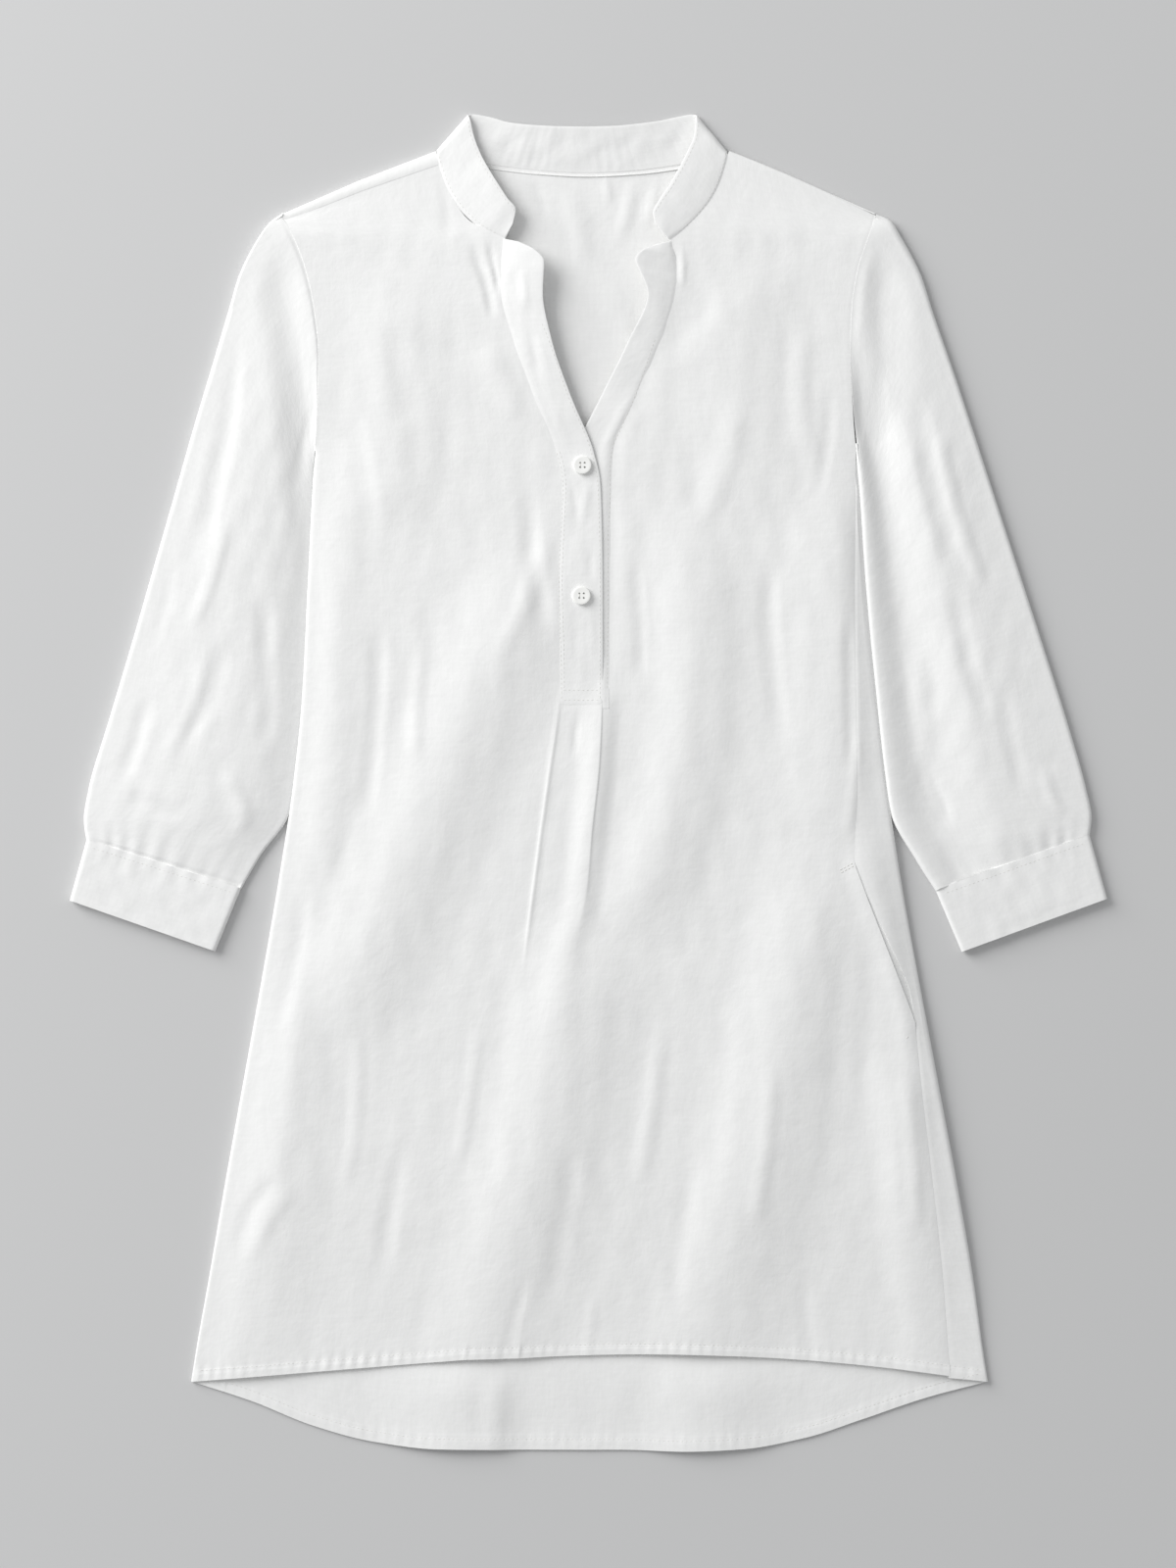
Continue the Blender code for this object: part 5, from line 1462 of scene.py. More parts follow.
    def underlap(self, t: Array, share: Array) -> Array:
        """Return points of the lower band, from its free edge to its sewn one."""
        form = self.front.form
        end, lap, row = self.edge(t, Side.RIGHT), self.laps(t), form.section(t)
        opened = self.opened(t)
        open_z = end[:, 2:] + self.stand_under * (lap.under_z - row.slit_right_z)
        shut_z = form.top(lap.under_x, lap.under_y) - self.under_over
        start_z = shut_z + (open_z - shut_z) * opened
        start = np.concatenate((lap.under_x, lap.under_y, start_z), axis=1)
        end[:, 0] += self.over_front
        points = start[:, None] + (end - start)[:, None] * share[None, :, None]
        x, y = points[:, :, 0], points[:, :, 1]
        crown = self.crown_under * np.sin(math.pi * share)[None, :] * opened
        worn = self.worn_under * ripple(x, y, 15, 32) * ease(t - UNDERARM)
        roll = self.roll * bell((share - 0.8) / 0.25)[None, :] * (1 - opened)
        points[:, :, 2] += crown + worn + roll + self.turned_in(1 - share)[None, :]
        return points

    def build(self, material: Finish) -> list[Piece]:
        """Make both bands."""
        t, share = self.stations(), self.shares()
        sizes = {"wall": self.wall, "edge": self.round_edge}
        over = Weave(self.overlap(t, share)).build("placket_overlap_shell", **sizes)
        share = 1 - share[::-1]
        under = Weave(self.underlap(t, share)).build("placket_underlap_shell", **sizes)
        return [dress(over, material, ("placket_overlap",)),
                dress(under, material, ("placket_underlap",))]

    def height(self, x: float, y: float) -> float:
        """Return the upper band's height at a place below the V."""
        t, share = self.stations(), np.linspace(0, 1, 41)
        points = self.overlap(t, share).reshape(-1, 3)
        return float(points[np.argmin((points[:, 0] - x) ** 2 + (points[:, 1] - y) ** 2), 2])


@dataclass
class Collar:
    """The band collar: one ruled strip from front end round the back to front end."""

    form: BodyForm
    wall: float = 1.1
    rows: int = 300
    columns: int = 14
    round_edge: float = 0.5  # radius of its folded edges
    crown: float = 0.5
    neck_top: float = 4.0
    stand: float = 0.5  # how steeply its fronts stand, against the solid
    stand_right: float = 0.15  # the same on the right
    under: float = 2.4  # how far its base lies beneath the front's edge
    below: float = 0.6  # how deep the base lies
    cord_radius: float = 0.36  # the corded seam: its size, its ends and its place
    cord_span: tuple[float, float] = (-66.0, 63.0)
    cord_drop: float = 2.9
    cord_height: float = 1.2
    seam_over: float = 2.6  # how far its inside lies over the back
    seam_drop: float = 0.35  # how much lower it lies there
    pucker: float = 0.08
    pucker_pitch: float = 7.0
    front_rise: float = 3.2  # base heights above this belong to the fronts
    neck_half: float = 92.0  # how far to each side the inside of the neck reaches
    crumple: float = 0.22  # height of its small unevenness
    crumple_pitch: float = 13.0

    def __post_init__(self) -> None:
        """Make the tracks, keyed by the length along the neckline."""
        reach = [0]
        for here, there in zip(COLLAR, COLLAR[1:]):
            reach.append(reach[-1] + math.dist(here[:3], there[:3]))
        self.reach = np.array(reach)
        self.along = tracks(COLLAR, reach)

    def points(self, at: Array, share: Array) -> Array:
        """Return points of the strip.

        Args:
            at: Lengths along the neckline, as a column.
            share: Shares of the way from the base to the free edge.

        Returns:
            The points, a row for each length.
        """
        row = Stand(*(column(at) for column in self.along))
        station = Track([part.slit_left_y for part in BODY[NECK_NOTCH:]],
                        range(NECK_NOTCH, SHOULDER + 1))(row.base_y)
        sewn = self.form.to_shoulder(self.form.top(row.base_x, row.base_y), station, self.neck_top)
        fronts = ease((row.base_z - self.front_rise) / 0.5)
        base_z = row.base_z + (sewn - self.below - row.base_z) * fronts
        stand = np.where(row.base_x > 0, self.stand_right, self.stand)
        top_z = base_z + (row.top_z - row.base_z) * (1 + (stand - 1) * fronts)
        base = np.concatenate((row.base_x, row.base_y, base_z), axis=1)
        top = np.concatenate((row.top_x, row.top_y, top_z), axis=1)
        wide = np.linalg.norm(top - base, axis=1)[:, None]
        inside = ease((self.neck_half - np.abs(row.base_x)) / 12) * (1 - fronts)
        base = base - (top - base) / wide * (self.under * fronts + self.seam_over * inside)
        base[:, 2:] -= self.seam_drop * inside
        points = base[:, None] + (top - base)[:, None] * share[None, :, None]
        away = share[None, :] * (wide + self.under * fronts)
        wave = np.sin(2 * math.pi * at / self.pucker_pitch + 1.6 * np.sin(at / 23))
        wave = self.pucker * wave * (0.55 + 0.45 * np.sin(at / 9.5))
        points[:, :, 2] += wave * (1 - 0.8 * share) * inside * ease(share / 0.12)
        points[:, :, 2] += self.below * ease(away / 3) * fronts
        high = ease((np.maximum(row.base_z, row.top_z) - 4) / 3)
        x, y = points[:, :, 0], points[:, :, 1]
        points[:, :, 2] += self.crown * 4 * share * (1 - share) * high
        inner = ease((3.51 - row.base_z) / 1.5)
        crumple = self.crumple * ripple(x, y, self.crumple_pitch, 41) * (0.4 + 0.6 * inner)
        points[:, :, 2] += crumple * np.sin(math.pi * np.clip(share, 0.1, 0.9))
        return points

    def build(self, material: Finish) -> Piece:
        """Make the collar."""
        at = np.linspace(0, self.reach[-1], self.rows + 1)[:, None]
        near = (0, 0.025, 0.05, 0.08, 0.11)
        share = np.concatenate((near, np.linspace(0.16, 1, self.columns)))
        points = self.points(at, share)
        obj = Weave(points).build("collar_shell", self.wall, 0, self.round_edge)
        return dress(obj, material, ("collar_band",))

    def seam(self, material: Finish) -> Piece:
        """Make the corded seam that shows along the inside of the back neckline."""
        x = np.linspace(*self.cord_span, 60)
        y = Track([p[0] for p in BACK_TOP], [p[1] for p in BACK_TOP])(x) - self.cord_drop
        path = np.stack((x, y, self.cord_height + 0 * x), axis=1)
        turns = (2 * math.pi * np.arange(10) / 10)[None, :, None]
        run = np.gradient(path, axis=0)
        run /= np.linalg.norm(run, axis=1)[:, None]
        side, up = np.cross(run, (0, 0, 1)), np.array((0, 0, 1))
        ring = path[:, None] + self.cord_radius * (np.cos(turns) * side[:, None] + np.sin(turns) * up)
        ends = [ring[i].mean(axis=0) + 0 * ring[i] for i in (0, -1)]
        caps = np.stack([ends[0], *ring, ends[1]])
        obj = tube("neck_seam_cord", caps)
        return dress(obj, material)


def tube(name: str, rings: Array) -> Piece:
    """Make a solid tube through rings of points whose first and last rings close to a point."""
    sides = rings.shape[1]
    body = rings[1:-1]
    points = np.concatenate((rings[0, :1], body.reshape(-1, 3), rings[-1, :1]))
    faces = []
    for i in range(len(body) - 1):
        for j in range(sides):
            a, b = 1 + i * sides + j, 1 + i * sides + (j + 1) % sides
            faces.append((a, b, b + sides, a + sides))
    end = len(points) - 1
    for j in range(sides):
        faces.append((0, 1 + (j + 1) % sides, 1 + j))
        low = 1 + (len(body) - 1) * sides
        faces.append((end, low + j, low + (j + 1) % sides))
    obj = add_piece(name, points, faces)
    lay_uv(obj.data, np.array([points[loop.vertex_index][:2] for loop in obj.data.loops]))
    pick(obj)
    bpy.ops.object.mode_set(mode="EDIT")
    bpy.ops.mesh.select_all(action="SELECT")
    bpy.ops.mesh.normals_make_consistent(inside=False)
    bpy.ops.object.mode_set(mode="OBJECT")
    return obj


# -------- sleeves and cuffs

@dataclass
class Sleeve:
    """A three-quarter sleeve: a flattened tube from the armhole to the cuff seam."""

    form: BodyForm
    side: Side
    rings: tuple[Ring, ...]
    creases: tuple[Crease, ...]
    name: str
    node: str
    wall: float = 0.75
    row_step: float = 5.0
    columns: int = 64
    under_columns: int = 30
    arc_steps: int = 4
    outer_top: float = 4.8
    inner_top: float = 3.2
    seam_step: float = 0.35  # how far its armhole edge lies below the body's
    seam_dip: float = 0.35  # how much deeper both its seams lie
    ridge_at: float = 0.52
    shelf: float = 0.8  # share of the ridge's height kept until near the body
    dip_at: float = 0.0  # share of the inner slope where it dips, or 0 for no dip
    dip_top: float = 2.0
    gathers: int = 9
    gather_rise: float = 0.25
    gather_run: float = 2.0  # sections over which the gathers fade up the sleeve
    tuck: float = 1.3  # how far its armhole edge lies under the body's
    clear: float = -0.9  # how far it stands off the body's folded side
    crumple: float = 0.16  # height of the linen's small unevenness
    crumple_pitch: float = 19.0
    lowest: float = 1.6  # least height of its upper side
    part_y: float = 34.0  # how far below the middle it parts from the body

    def __post_init__(self) -> None:
        """Make the tracks through the sections, their inner edges laid against the body."""
        rings = []
        for ring in self.rings:
            touch = float(self.form.outline(self.side, ring.inner_y)) + self.side.value * self.clear
            near = float(ease((ring.inner_y + self.part_y) / 20))
            rings.append(ring._replace(inner_x=ring.inner_x + (touch - ring.inner_x) * near))
        self.at = tracks(rings, range(len(rings)))
        self.last = float(len(self.rings) - 1)

    def edge(self, x_at: Track, y_at: Track, t: Array, turn: float) -> tuple[Array, Array]:
        """Return points of a folded edge and the directions from them into the sleeve."""
        before, after = np.maximum(t - 0.25, 0), np.minimum(t + 0.25, self.last)
        run = np.stack((x_at(after) - x_at(before), y_at(after) - y_at(before)), axis=1)
        run /= np.linalg.norm(run, axis=1)[:, None]
        return np.stack((x_at(t), y_at(t)), axis=1), turn * np.stack((run[:, 1], -run[:, 0]), axis=1)

    def bow(self, share: Array) -> Array:
        """Return how far the armhole seam lies from a straight line between its ends."""
        first = self.rings[0]
        y = first.outer_y + (first.inner_y - first.outer_y) * share
        chord = first.outer_x + (first.inner_x - first.outer_x) * share
        return self.form.outline(self.side, y) - chord

    def profile(self, share: Array, outer: Array, inner: Array, ridge: Array) -> Array:
        """Return the height over the top of the sleeve, from its outer to its inner fold."""
        rise = outer + (ridge - outer) * ease((share / self.ridge_at) ** 0.75)
        fall = (1 - share) / (1 - self.ridge_at)
        if self.dip_at:
            low = ease((fall - self.dip_at) / (1 - self.dip_at))
            crest = self.dip_top + (ridge - self.dip_top) * low
            crest = crest + (inner - self.dip_top) * bell(fall / self.dip_at)
        else:
            low = ease(np.clip(fall / 0.5, 0, 1) ** 0.7)
            crest = inner + (ridge * self.shelf - inner) * low
            crest = crest + ridge * (1 - self.shelf) * ease(fall)
        return np.where(share < self.ridge_at, rise, crest)

    def points(self, t: Array) -> Array:
        """Return the rings of points at stations."""
        ring = Ring(*(column(t) for column in self.at))
        outer, outer_in = self.edge(self.at.outer_x, self.at.outer_y, t, self.side.value)
        inner, inner_in = self.edge(self.at.inner_x, self.at.inner_y, t, -self.side.value)
        outer_top = self.outer_top + 0 * ring.bow[:, None]
        inner_top = self.inner_top + 0 * ring.bow[:, None]
        start, end = outer + outer_in * outer_top / 2, inner + inner_in * inner_top / 2
        bow = ring.bow[:, None]

        def across(share: Array, under: bool) -> Array:
            """Return the points over the top or beneath, at shares from the outer to the inner."""
            spot = start[:, None] + (end - start)[:, None] * share[None, :, None]
            spot[:, :, 0] += bow * self.bow(share)[None, :]
            x, y = spot[:, :, 0], spot[:, :, 1]
            if under:
                return np.concatenate((spot, 0 * spot[:, :, :1]), axis=2)
            height = self.profile(share[None, :], outer_top, inner_top, ring.top[:, None])
            seam = self.form.seam_height(y) - self.seam_step
            height = height + (seam - height) * bow ** 3
            middle = ease(5 * np.minimum(share, 1 - share))[None, :]
            gather = ease((t - self.last + self.gather_run) / self.gather_run)[:, None]
            uneven = 1 + 0.5 * np.sin(5.3 * share + 1.1)[None, :]
            wave = np.cos(2 * math.pi * (self.gathers * share + 0.25 * np.sin(6 * share)))
            height = height + self.gather_rise * gather ** 2 * wave[None, :] * uneven * middle
            height = height + middle * crease_lift(self.creases, x, y) * (1 - bow ** 5)
            uneven = self.crumple * ripple(x, y, self.crumple_pitch, 51)
            height = height + middle * uneven * (1 - bow)
            seams = ease((t - 0.08) / 0.3) * ease((self.last - t - 0.04) / 0.16)
            height = height - self.seam_dip * (1 - seams)[:, None] * ease(9 * share)
            return np.concatenate((spot, np.maximum(height, self.lowest)[:, :, None]), axis=2)

        turns = arc_turns(self.arc_steps)[1:-1]
        parts = (fold_arc(outer, outer_in, outer_top, turns),
                 across(np.linspace(0, 1, self.columns + 1), False),
                 fold_arc(inner, inner_in, inner_top, turns[::-1]),
                 across(np.linspace(1, 0, self.under_columns + 1), True))
        return self.off_body(np.concatenate(parts, axis=1))

    def off_body(self, points: Array) -> Array:
        """Return the points kept clear of the body's side, or tucked under it at the armhole."""
        x, y = points[:, :, 0], points[:, :, 1]
        seam = ease((y - BODY[UNDERARM].side_y + 10) / 10)
        room = self.clear - (self.tuck + self.clear) * seam
        edge = self.form.outline(self.side, y) + self.side.value * room
        points[:, :, 0] = np.maximum(x, edge) if self.side is Side.RIGHT else np.minimum(x, edge)
        return points

    def build(self, material: Finish) -> Piece:
        """Make the sleeve."""
        keys = [(ring.outer_x, ring.outer_y, ring.inner_x, ring.inner_y) for ring in self.rings]
        near_armhole = (0.08, 0.16, 0.23, 0.3, 0.38, 0.5, 0.7)
        near_cuff = self.last - np.array((0.22, 0.15, 0.1, 0.06))
        t = np.unique(np.concatenate((even_rows(keys, self.row_step), near_armhole, near_cuff)))
        obj = Weave(self.points(t), closed=True).build(self.name, self.wall)
        return dress(obj, material, (self.node,))


@dataclass
class Cuff:
    """A cuff: a flattened double band from the cuff seam to its open end."""

    rings: tuple[Ring, ...]
    outer: tuple[float, float]  # the two ends of its lower edge
    inner: tuple[float, float]
    name: str
    node: str
    wall: float = 1.2
    top: float = 4.9
    sink: float = 0.1  # how far its sewn edge sinks into the sleeve
    rows: int = 26
    columns: int = 70
    under_columns: int = 24
    arc_steps: int = 4
    over_sleeve: float = 1.0  # how far it lies over the sleeve's end
    pucker: float = 0.17
    puckers: float = 9.0
    crumple: float = 0.2  # height of its small unevenness
    crumple_pitch: float = 14.0

    def corners(self) -> tuple[Array, Array, Array, Array]:
        """Return the ends of the seam and of the lower edge."""
        last = self.rings[-1]
        return (np.array((last.outer_x, last.outer_y)), np.array((last.inner_x, last.inner_y)),
                np.array(self.outer), np.array(self.inner))

    def points(self, along: Array, spread: Array | None = None) -> Array:
        """Return rings of points, or with spread only a line over the top.

        Args:
            along: Shares of the way from the seam to the lower edge.
            spread: Shares of the way across the top, or None for whole rings.

        Returns:
            The points.
        """
        top_out, top_in, low_out, low_in = self.corners()
        down = (low_out - top_out) / np.linalg.norm(low_out - top_out)
        share = along[:, None]
        shift = -down * self.over_sleeve * (1 - share)
        outer = top_out + (low_out - top_out) * share + shift
        inner = top_in + (low_in - top_in) * share + shift
        across = inner - outer
        wide = np.linalg.norm(across, axis=1)[:, None]
        across = across / wide
        radius = self.top / 2
        flat = wide - 2 * radius

        def line(shares: Array, under: bool) -> Array:
            """Return the points over the top or beneath, at shares from outer to inner."""
            spot = outer[:, None] + across[:, None] * (radius + flat * shares)[:, :, None]
            if under:
                return np.concatenate((spot, 0 * spot[:, :, :1]), axis=2)
            middle = ease(6 * np.minimum(shares, 1 - shares))[None, :]
            wave = np.cos(2 * math.pi * (self.puckers * shares + 0.3 * np.sin(5 * shares)))
            fade = 1 - ease(share / 0.45)
            uneven = self.crumple * ripple(spot[:, :, 0], spot[:, :, 1], self.crumple_pitch, 61)
            height = self.top + middle * (self.pucker * wave[None, :] * fade + uneven)
            edge = -0.06 * bell((share - 0.88) / 0.05) - self.sink * (1 - ease(share / 0.05))
            return np.concatenate((spot, (height + edge)[:, :, None]), axis=2)

        if spread is not None:
            return line(spread, False)
        turns = arc_turns(self.arc_steps)[1:-1]
        return np.concatenate((fold_arc(outer, across, self.top, turns),
                               line(np.linspace(0, 1, self.columns + 1), False),
                               fold_arc(inner, -across, self.top, turns[::-1]),
                               line(np.linspace(1, 0, self.under_columns + 1), True)), axis=1)

    def build(self, material: Finish) -> Piece:
        """Make the cuff."""
        rings = self.points(np.linspace(0, 1, self.rows + 1))
        obj = Weave(rings, closed=True).build(self.name, self.wall)
        return dress(obj, material, (self.node,))


# -------- pocket and buttons

@dataclass
class PocketFacing:
    """The strip of facing that shows in the mouth of the right side pocket."""

    form: BodyForm
    wall: float = 0.5
    tuck: float = 9.0
    drop: float = 0.45  # below the cloth over it, at the mouth
    slope: float = 0.12
    clear: float = 3.8  # how far its end stays from the outline
    rows: int = 40
    columns: int = 12

    def build(self, material: Finish) -> Piece:
        """Make the facing."""
        y = np.linspace(POCKET_FOOT, POCKET_TOP, self.rows + 1)[:, None]
        mouth = self.form.sides.right_x(y) - self.form.seam.right(y)
        end = self.form.sides.right_x(y) - self.clear
        stop = np.minimum(mouth + self.tuck, end)
        x = mouth - self.tuck + (stop - mouth + self.tuck) * np.linspace(0, 1, self.columns + 1)
        drop = self.drop + self.slope * np.maximum(x - mouth, 0)
        points = np.stack((x, y + 0 * x, self.form.top(x, y + 0 * x) - drop), axis=2)
        obj = Weave(points).build("pocket_facing_shell", self.wall)
        return dress(obj, material, ("pocket_facing",))


@dataclass
class ShirtButton:
    """An 18 line shirt button with a raised rim, a dished middle and four thread holes."""

    name: str
    node: str
    x: float
    y: float
    radius: float = 5.9
    thick: float = 2.3
    rim: float = 1.5
    dish: float = 0.07
    hole: float = 0.64  # radius of the thread holes
    spread: float = 1.45  # how far they lie from the middle, across and along
    rounding: float = 0.4
    sides: int = 48
    pressed: float = 0.35  # how far it sits in the band
    sewn_over: float = 0.3  # how far the thread runs past the holes' middles
    lean: tuple[float, float, float] = (-0.05, -0.07, 0.0)  # how its thread lets it lie

    def turn_disc(self, z: float) -> Piece:
        """Turn the disc: a cylinder whose top is inset and sunk, with rounded rims."""
        bpy.ops.object.select_all(action="DESELECT")
        bpy.ops.mesh.primitive_cylinder_add(
            vertices=self.sides, radius=self.radius * MM, depth=self.thick * MM,
            end_fill_type="NGON", rotation=self.lean,
            location=(self.x * MM, self.y * MM, (z + self.thick / 2) * MM))
        disc = bpy.context.active_object
        disc.name = disc.data.name = self.name
        bpy.ops.object.transform_apply(location=True, rotation=True, scale=True)
        bpy.ops.object.mode_set(mode="EDIT")
        bpy.ops.mesh.select_all(action="DESELECT")
        bpy.ops.object.mode_set(mode="OBJECT")
        for face in disc.data.polygons:
            face.select = face.normal.z > 0.9
        bpy.ops.object.mode_set(mode="EDIT")
        bpy.ops.mesh.select_mode(type="FACE")
        bpy.ops.mesh.inset(thickness=self.rim * MM, depth=0)
        bpy.ops.mesh.inset(thickness=0.8 * MM, depth=-self.dish * MM)
        bpy.ops.mesh.inset(thickness=2 * MM, depth=-0.06 * MM)
        bpy.ops.object.mode_set(mode="OBJECT")
        round_rims(disc, "rounded_rims", self.rounding, 3, 40)
        return disc

    def drill(self, disc: Piece, z: float) -> None:
        """Drill the four thread holes."""
        drills = []
        for dx, dy in ((1, 1), (1, -1), (-1, -1), (-1, 1)):
            bpy.ops.object.select_all(action="DESELECT")
            bpy.ops.mesh.primitive_cylinder_add(
                vertices=20, radius=self.hole * MM, depth=4 * self.thick * MM,
                location=((self.x + dx * self.spread) * MM, (self.y + dy * self.spread) * MM,
                          z * MM))
            cutter = bpy.context.active_object
            drills.append(cutter)
            cut = disc.modifiers.new("thread_hole", "BOOLEAN")
            cut.operation = "DIFFERENCE"
            cut.solver = "EXACT"
            cut.object = cutter
        apply_modifiers(disc)
        for cutter in drills:
            bpy.data.objects.remove(cutter, do_unlink=True)

    def build(self, placket: Placket, resin: Finish,
              thread: Finish) -> list[Piece]:
        """Make the button on the upper band, with the thread that sews it on.

        Args:
            placket: The placket that carries it.
            resin: The button's material.
            thread: The thread's material.

        Returns:
            The button and its thread.
        """
        z = placket.height(self.x, self.y) - self.pressed
        disc = self.turn_disc(z)
        self.drill(disc, z)
        pick(disc)
        bpy.ops.object.shade_smooth_by_angle(angle=math.radians(35))
        high = z + self.thick - self.dish - 0.25
        paths = []
        reach = self.spread + self.sewn_over
        for dx in (-1, 1):
            ys = np.linspace(self.y - reach, self.y + reach, 9)
            sag = 0.9 * (np.abs(ys - self.y) / reach) ** 4
            paths.append(np.stack((self.x + dx * self.spread + 0 * ys, ys, high - sag), axis=1))
        strands = Stitches(length=3.4, pitch=9, radius=0.34, sides=6)
        sewn = strands.build(f"{self.name}_thread", paths)
        return [dress(disc, resin, (self.node,)), dress(sewn, thread)]


# -------- the sewing

class TopSide:
    """The upper side of finished pieces, to lay sewing on."""

    def __init__(self, pieces: Sequence[Piece]) -> None:
        """Gather the pieces' faces."""
        spots: list[tuple[float, float, float]] = []
        faces: list[tuple[int, ...]] = []
        for piece in pieces:
            first = len(spots)
            spots += [tuple(vertex.co) for vertex in piece.data.vertices]
            faces += [tuple(first + i for i in face.vertices) for face in piece.data.polygons]
        self.tree = BVHTree.FromPolygons(spots, faces)

    def lay(self, line: Sequence[tuple[float, float]], above: float = -0.02,
            step: float = 1.2) -> Array:
        """Lay a smooth line through points seen from above on the surface.

        Args:
            line: The points, in millimetres.
            above: How far over the surface it lies.
            step: The distance between two points of the result.

        Returns:
            Points on the surface.
        """
        keys = np.array(line, float)
        reach = np.concatenate(((0,), np.cumsum(np.hypot(*np.diff(keys, axis=0).T))))
        at = np.linspace(0, reach[-1], max(2, int(reach[-1] / step)) + 1)
        xs, ys = Track(reach, keys[:, 0])(at), Track(reach, keys[:, 1])(at)
        points = []
        for x, y in zip(xs, ys):
            spot = self.tree.ray_cast(Vector((x * MM, y * MM, 1)), Vector((0, 0, -1)))[0]
            if spot is not None:
                points.append((x, y, spot.z / MM + above))
        return np.array(points)


@dataclass
class Sewing:
    """The visible lines of stitches, each laid on the pieces that it holds."""

    thread: Finish

    placket_left: tuple = ((-20.9, 216.0), (-17.9, 206.0), (-16.5, 196.0), (-18.9, 131.0),
                           (-17.5, 72), (-17.4, 53.6))
    placket_twin: tuple = ((-19.0, 217.6), (-16.0, 206.4), (-14.6, 196.0), (-17.0, 131.0),
                           (-15.6, 72), (-15.6, 60.2))
    placket_fold: tuple = ((-30.6, 300.0), (-25.6, 288.0), (-13.2, 252.0), (1.8, 216.0),
                           (6.4, 193), (7.8, 130), (7.8, 53.6))
    box_top: tuple = ((-17.2, 60.4), (-4.0, 60.2), (7.6, 60.4))
    box_foot: tuple = ((-17.2, 53.9), (-4.0, 53.7), (7.6, 53.9))
    underlap: tuple = ((44.0, 290.0), (30.7, 252.5), (21.8, 231.4), (15.4, 216.6), (14.3, 205.0),
                       (14.2, 184), (12.9, 160), (12.8, 120), (12.4, 60))
    tack_upper: tuple = ((163.2, -57.4), (173.0, -52.2))
    tack_lower: tuple = ((163.9, -59.2), (173.7, -54.0))
    tack_foot: tuple = ((207.0, -167.2), (209.2, -164.8))

    def hem_lines(self, form: BodyForm, hem: Hem) -> tuple[list, list]:
        """Return the stitched lines of the front's and the back's hem."""
        row, inset = BODY[0], 5
        up = hem.depth - hem.inset
        front, back = [], []
        for x in np.linspace(row.left_x + inset, row.right_x - inset, 90):
            left = (x - row.left_x) / (row.slit_left_x - row.left_x)
            y = row.side_y + (row.slit_left_y - row.side_y) * min(left, 1)
            if x > row.slit_left_x:
                share = (x - row.slit_right_x) / (row.right_x - row.slit_right_x)
                y = form.right_y(row, max(0, share))
            front.append((x, y + up))
            dip = float(form.dip((x - row.left_x) / (row.right_x - row.left_x)))
            back.append((x, row.side_y - dip + up))
        return front, back

    def sew(self, name: str, top: TopSide, lines: Sequence, **sizes: float) -> Piece:
        """Make one piece of stitches from several lines."""
        paths = [path for line in lines if len(path := top.lay(line)) > 2]
        return dress(Stitches(**sizes).build(name, paths), self.thread)

    def cuff_lines(self, cuff: Cuff) -> list:
        """Return the stitched line of a cuff, below its seam."""
        spread = np.linspace(0.02, 0.98, 40)
        return [cuff.points(np.array((0.1,)), spread)[0, :, :2].tolist()]

    def collar_lines(self, collar: Collar, share: float) -> list:
        """Return a stitched line along the collar's two standing fronts."""
        parts = []
        for low, high in ((0.02, 0.235), (0.775, 0.98)):
            at = np.linspace(low, high, 50)[:, None] * collar.reach[-1]
            parts.append(collar.points(at, np.array((share,)))[:, 0, :2].tolist())
        return parts


# -------- the studio

@dataclass
class Studio:
    """A pale floor, one large soft light at the upper left, and a camera straight above."""

    floor_half: float = 2.4
    floor_drop: float = 0.0003
    camera_height: float = 3.2
    camera_y: float = -0.00096
    frame_tall: float = 1.024  # how much of the floor the camera sees, from top to bottom
    sensor: float = 24.0
    key_from: tuple[float, float, float] = (-3.45, 2.42, 1.96)
    key_size: float = 3.45
    key_power: float = 232.0
    sky: float = 0.46

    def floor(self, material: Finish) -> None:
        """Lay the floor."""
        bpy.ops.object.select_all(action="DESELECT")
        bpy.ops.mesh.primitive_plane_add(size=2 * self.floor_half,
                                         location=(0, 0, -self.floor_drop))
        board = bpy.context.active_object
        board.name = board.data.name = "floor"
        board.data.materials.append(material)

    def camera(self) -> None:
        """Place the camera."""
        lens = bpy.data.cameras.new("camera")
        lens.sensor_fit = "VERTICAL"
        lens.sensor_height = self.sensor
        lens.lens = self.sensor * self.camera_height / self.frame_tall
        eye = bpy.data.objects.new("camera", lens)
        eye.location = (0, self.camera_y, self.camera_height)
        bpy.context.scene.collection.objects.link(eye)
        bpy.context.scene.camera = eye

    def light(self) -> None:
        """Set the key light and the even light of the room."""
        lamp = bpy.data.lights.new("key", "AREA")
        lamp.shape = "DISK"
        lamp.size = self.key_size
        lamp.energy = self.key_power
        key = bpy.data.objects.new("key", lamp)
        key.location = self.key_from
        key.rotation_euler = (-Vector(self.key_from)).to_track_quat("-Z", "Y").to_euler()
        bpy.context.scene.collection.objects.link(key)
        room = bpy.data.worlds.new("room")
        room.use_nodes = True
        room.node_tree.nodes["Background"].inputs[0].default_value = (0.98, 0.99, 1, 1)
        room.node_tree.nodes["Background"].inputs[1].default_value = self.sky
        bpy.context.scene.world = room

    def build(self) -> None:
        """Make the floor, the camera and the lights."""
        self.floor(PaintedBoard().build())
        self.camera()
        self.light()
        bpy.context.scene.view_settings.view_transform = "Standard"


# -------- the whole

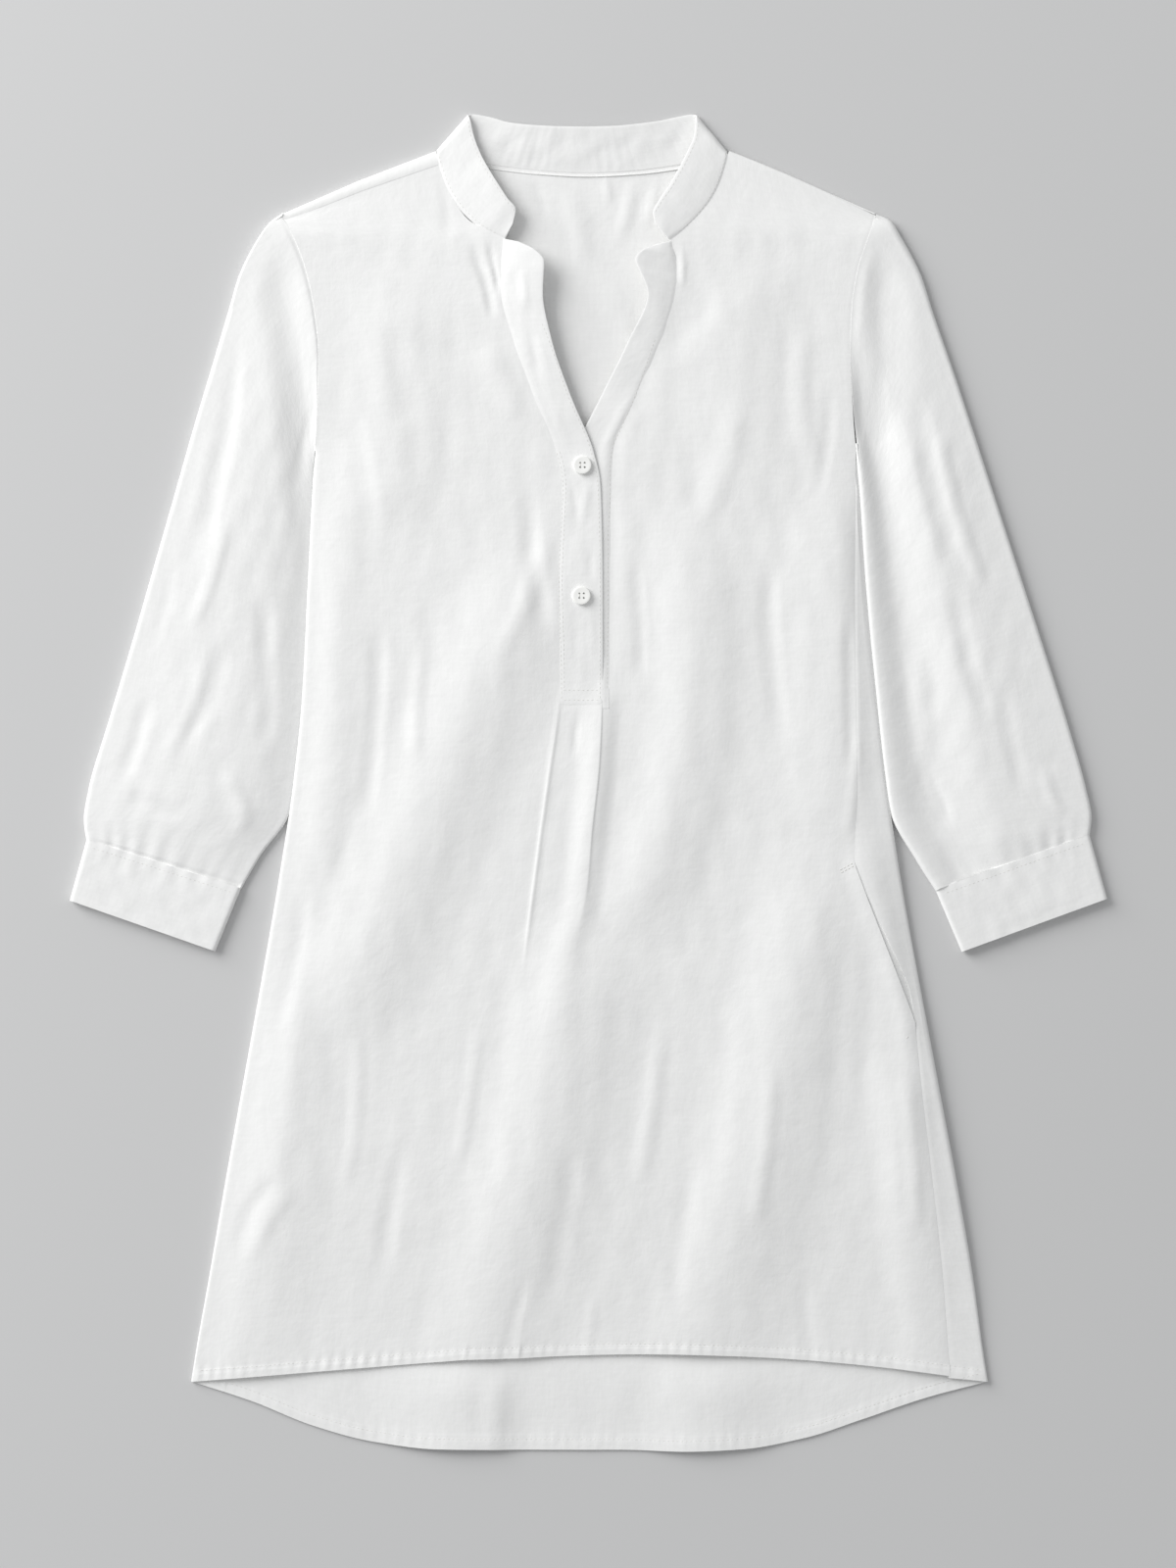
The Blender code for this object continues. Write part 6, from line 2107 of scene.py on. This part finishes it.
SLEEVE_SEAM = {"seam_step": -0.3, "seam_dip": 0.55}
SLEEVE_DIP = {"ridge_at": 0.47, "dip_at": 0.36, "dip_top": 2, "inner_top": 5.9,
              "seam_step": -0.12, "seam_dip": 0.05}
CUFF_LEFT = {"outer": (-338.1, -76.9), "inner": (-243.2, -110.1)}
CUFF_RIGHT = {"outer": (338.8, -75.7), "inner": (243.8, -110.4)}


def main() -> None:
    """Build the blouse, its sewing, its buttons and the studio."""
    Studio().build()
    form = BodyForm()
    body, band = WovenLinen("white_linen").build(), WovenLinen("white_linen_band").build()
    resin, thread = MouldedResin().build(), SewingThread().build()

    front_panel = FrontPanel(form)
    front = front_panel.build(body)
    back = BackPanel(form).build(body)
    placket = Placket(front_panel)
    over, under = placket.build(band)
    collar_band = Collar(form)
    collar = collar_band.build(band)
    cord = collar_band.seam(band)
    facing = PocketFacing(form).build(body)
    sleeves, cuffs, makers = [], [], []
    for side, rings, creases, word, cuff_sizes in (
            (Side.LEFT, SLEEVE_LEFT, SLEEVE_LEFT_CREASES, "left", CUFF_LEFT),
            (Side.RIGHT, SLEEVE_RIGHT, SLEEVE_RIGHT_CREASES, "right", CUFF_RIGHT)):
        sleeve = Sleeve(form, side, rings, creases, f"sleeve_{word}_shell", f"sleeve_{word}",
                        **(SLEEVE_DIP if side is Side.RIGHT else SLEEVE_SEAM))
        sleeves.append(sleeve.build(body))
        makers.append(Cuff(rings, name=f"cuff_{word}_shell", node=f"cuff_{word}", **cuff_sizes))
        cuffs.append(makers[-1].build(band))

    sewing = Sewing(thread)
    body_top = TopSide([front, back, over, under, facing])
    hem_front, hem_back = sewing.hem_lines(form, Hem())
    seams_front = sewing.sew("front_hem_stitches", body_top, [hem_front])
    seams_back = sewing.sew("back_hem_stitches", TopSide([back]), [hem_back])
    seams_over = sewing.sew("placket_stitches", body_top,
                            [sewing.placket_left, sewing.placket_twin, sewing.placket_fold,
                             sewing.box_top, sewing.box_foot])
    seams_under = sewing.sew("underlap_stitches", body_top, [sewing.underlap])
    tacks = sewing.sew("pocket_tacks", body_top,
                       [sewing.tack_upper, sewing.tack_lower, sewing.tack_foot],
                       pitch=2.5, radius=0.26, length=2.6)
    seams_collar = sewing.sew("collar_stitches", TopSide([collar]),
                              sewing.collar_lines(collar_band, 0.93)
                              + sewing.collar_lines(collar_band, 0.08))
    seams_cuffs = [sewing.sew(f"cuff_{word}_stitches", TopSide([cuff]), sewing.cuff_lines(maker))
                   for word, cuff, maker in zip(("left", "right"), cuffs, makers)]

    for name, x, y in (("button_upper", -3.6, 206.8), ("button_lower", -4.2, 121.7)):
        ShirtButton(f"{name}_disc", name, x, y).build(placket, resin, thread)


if __name__ == "__main__":
    logging.basicConfig(level=logging.INFO, format="%(message)s")
    main()
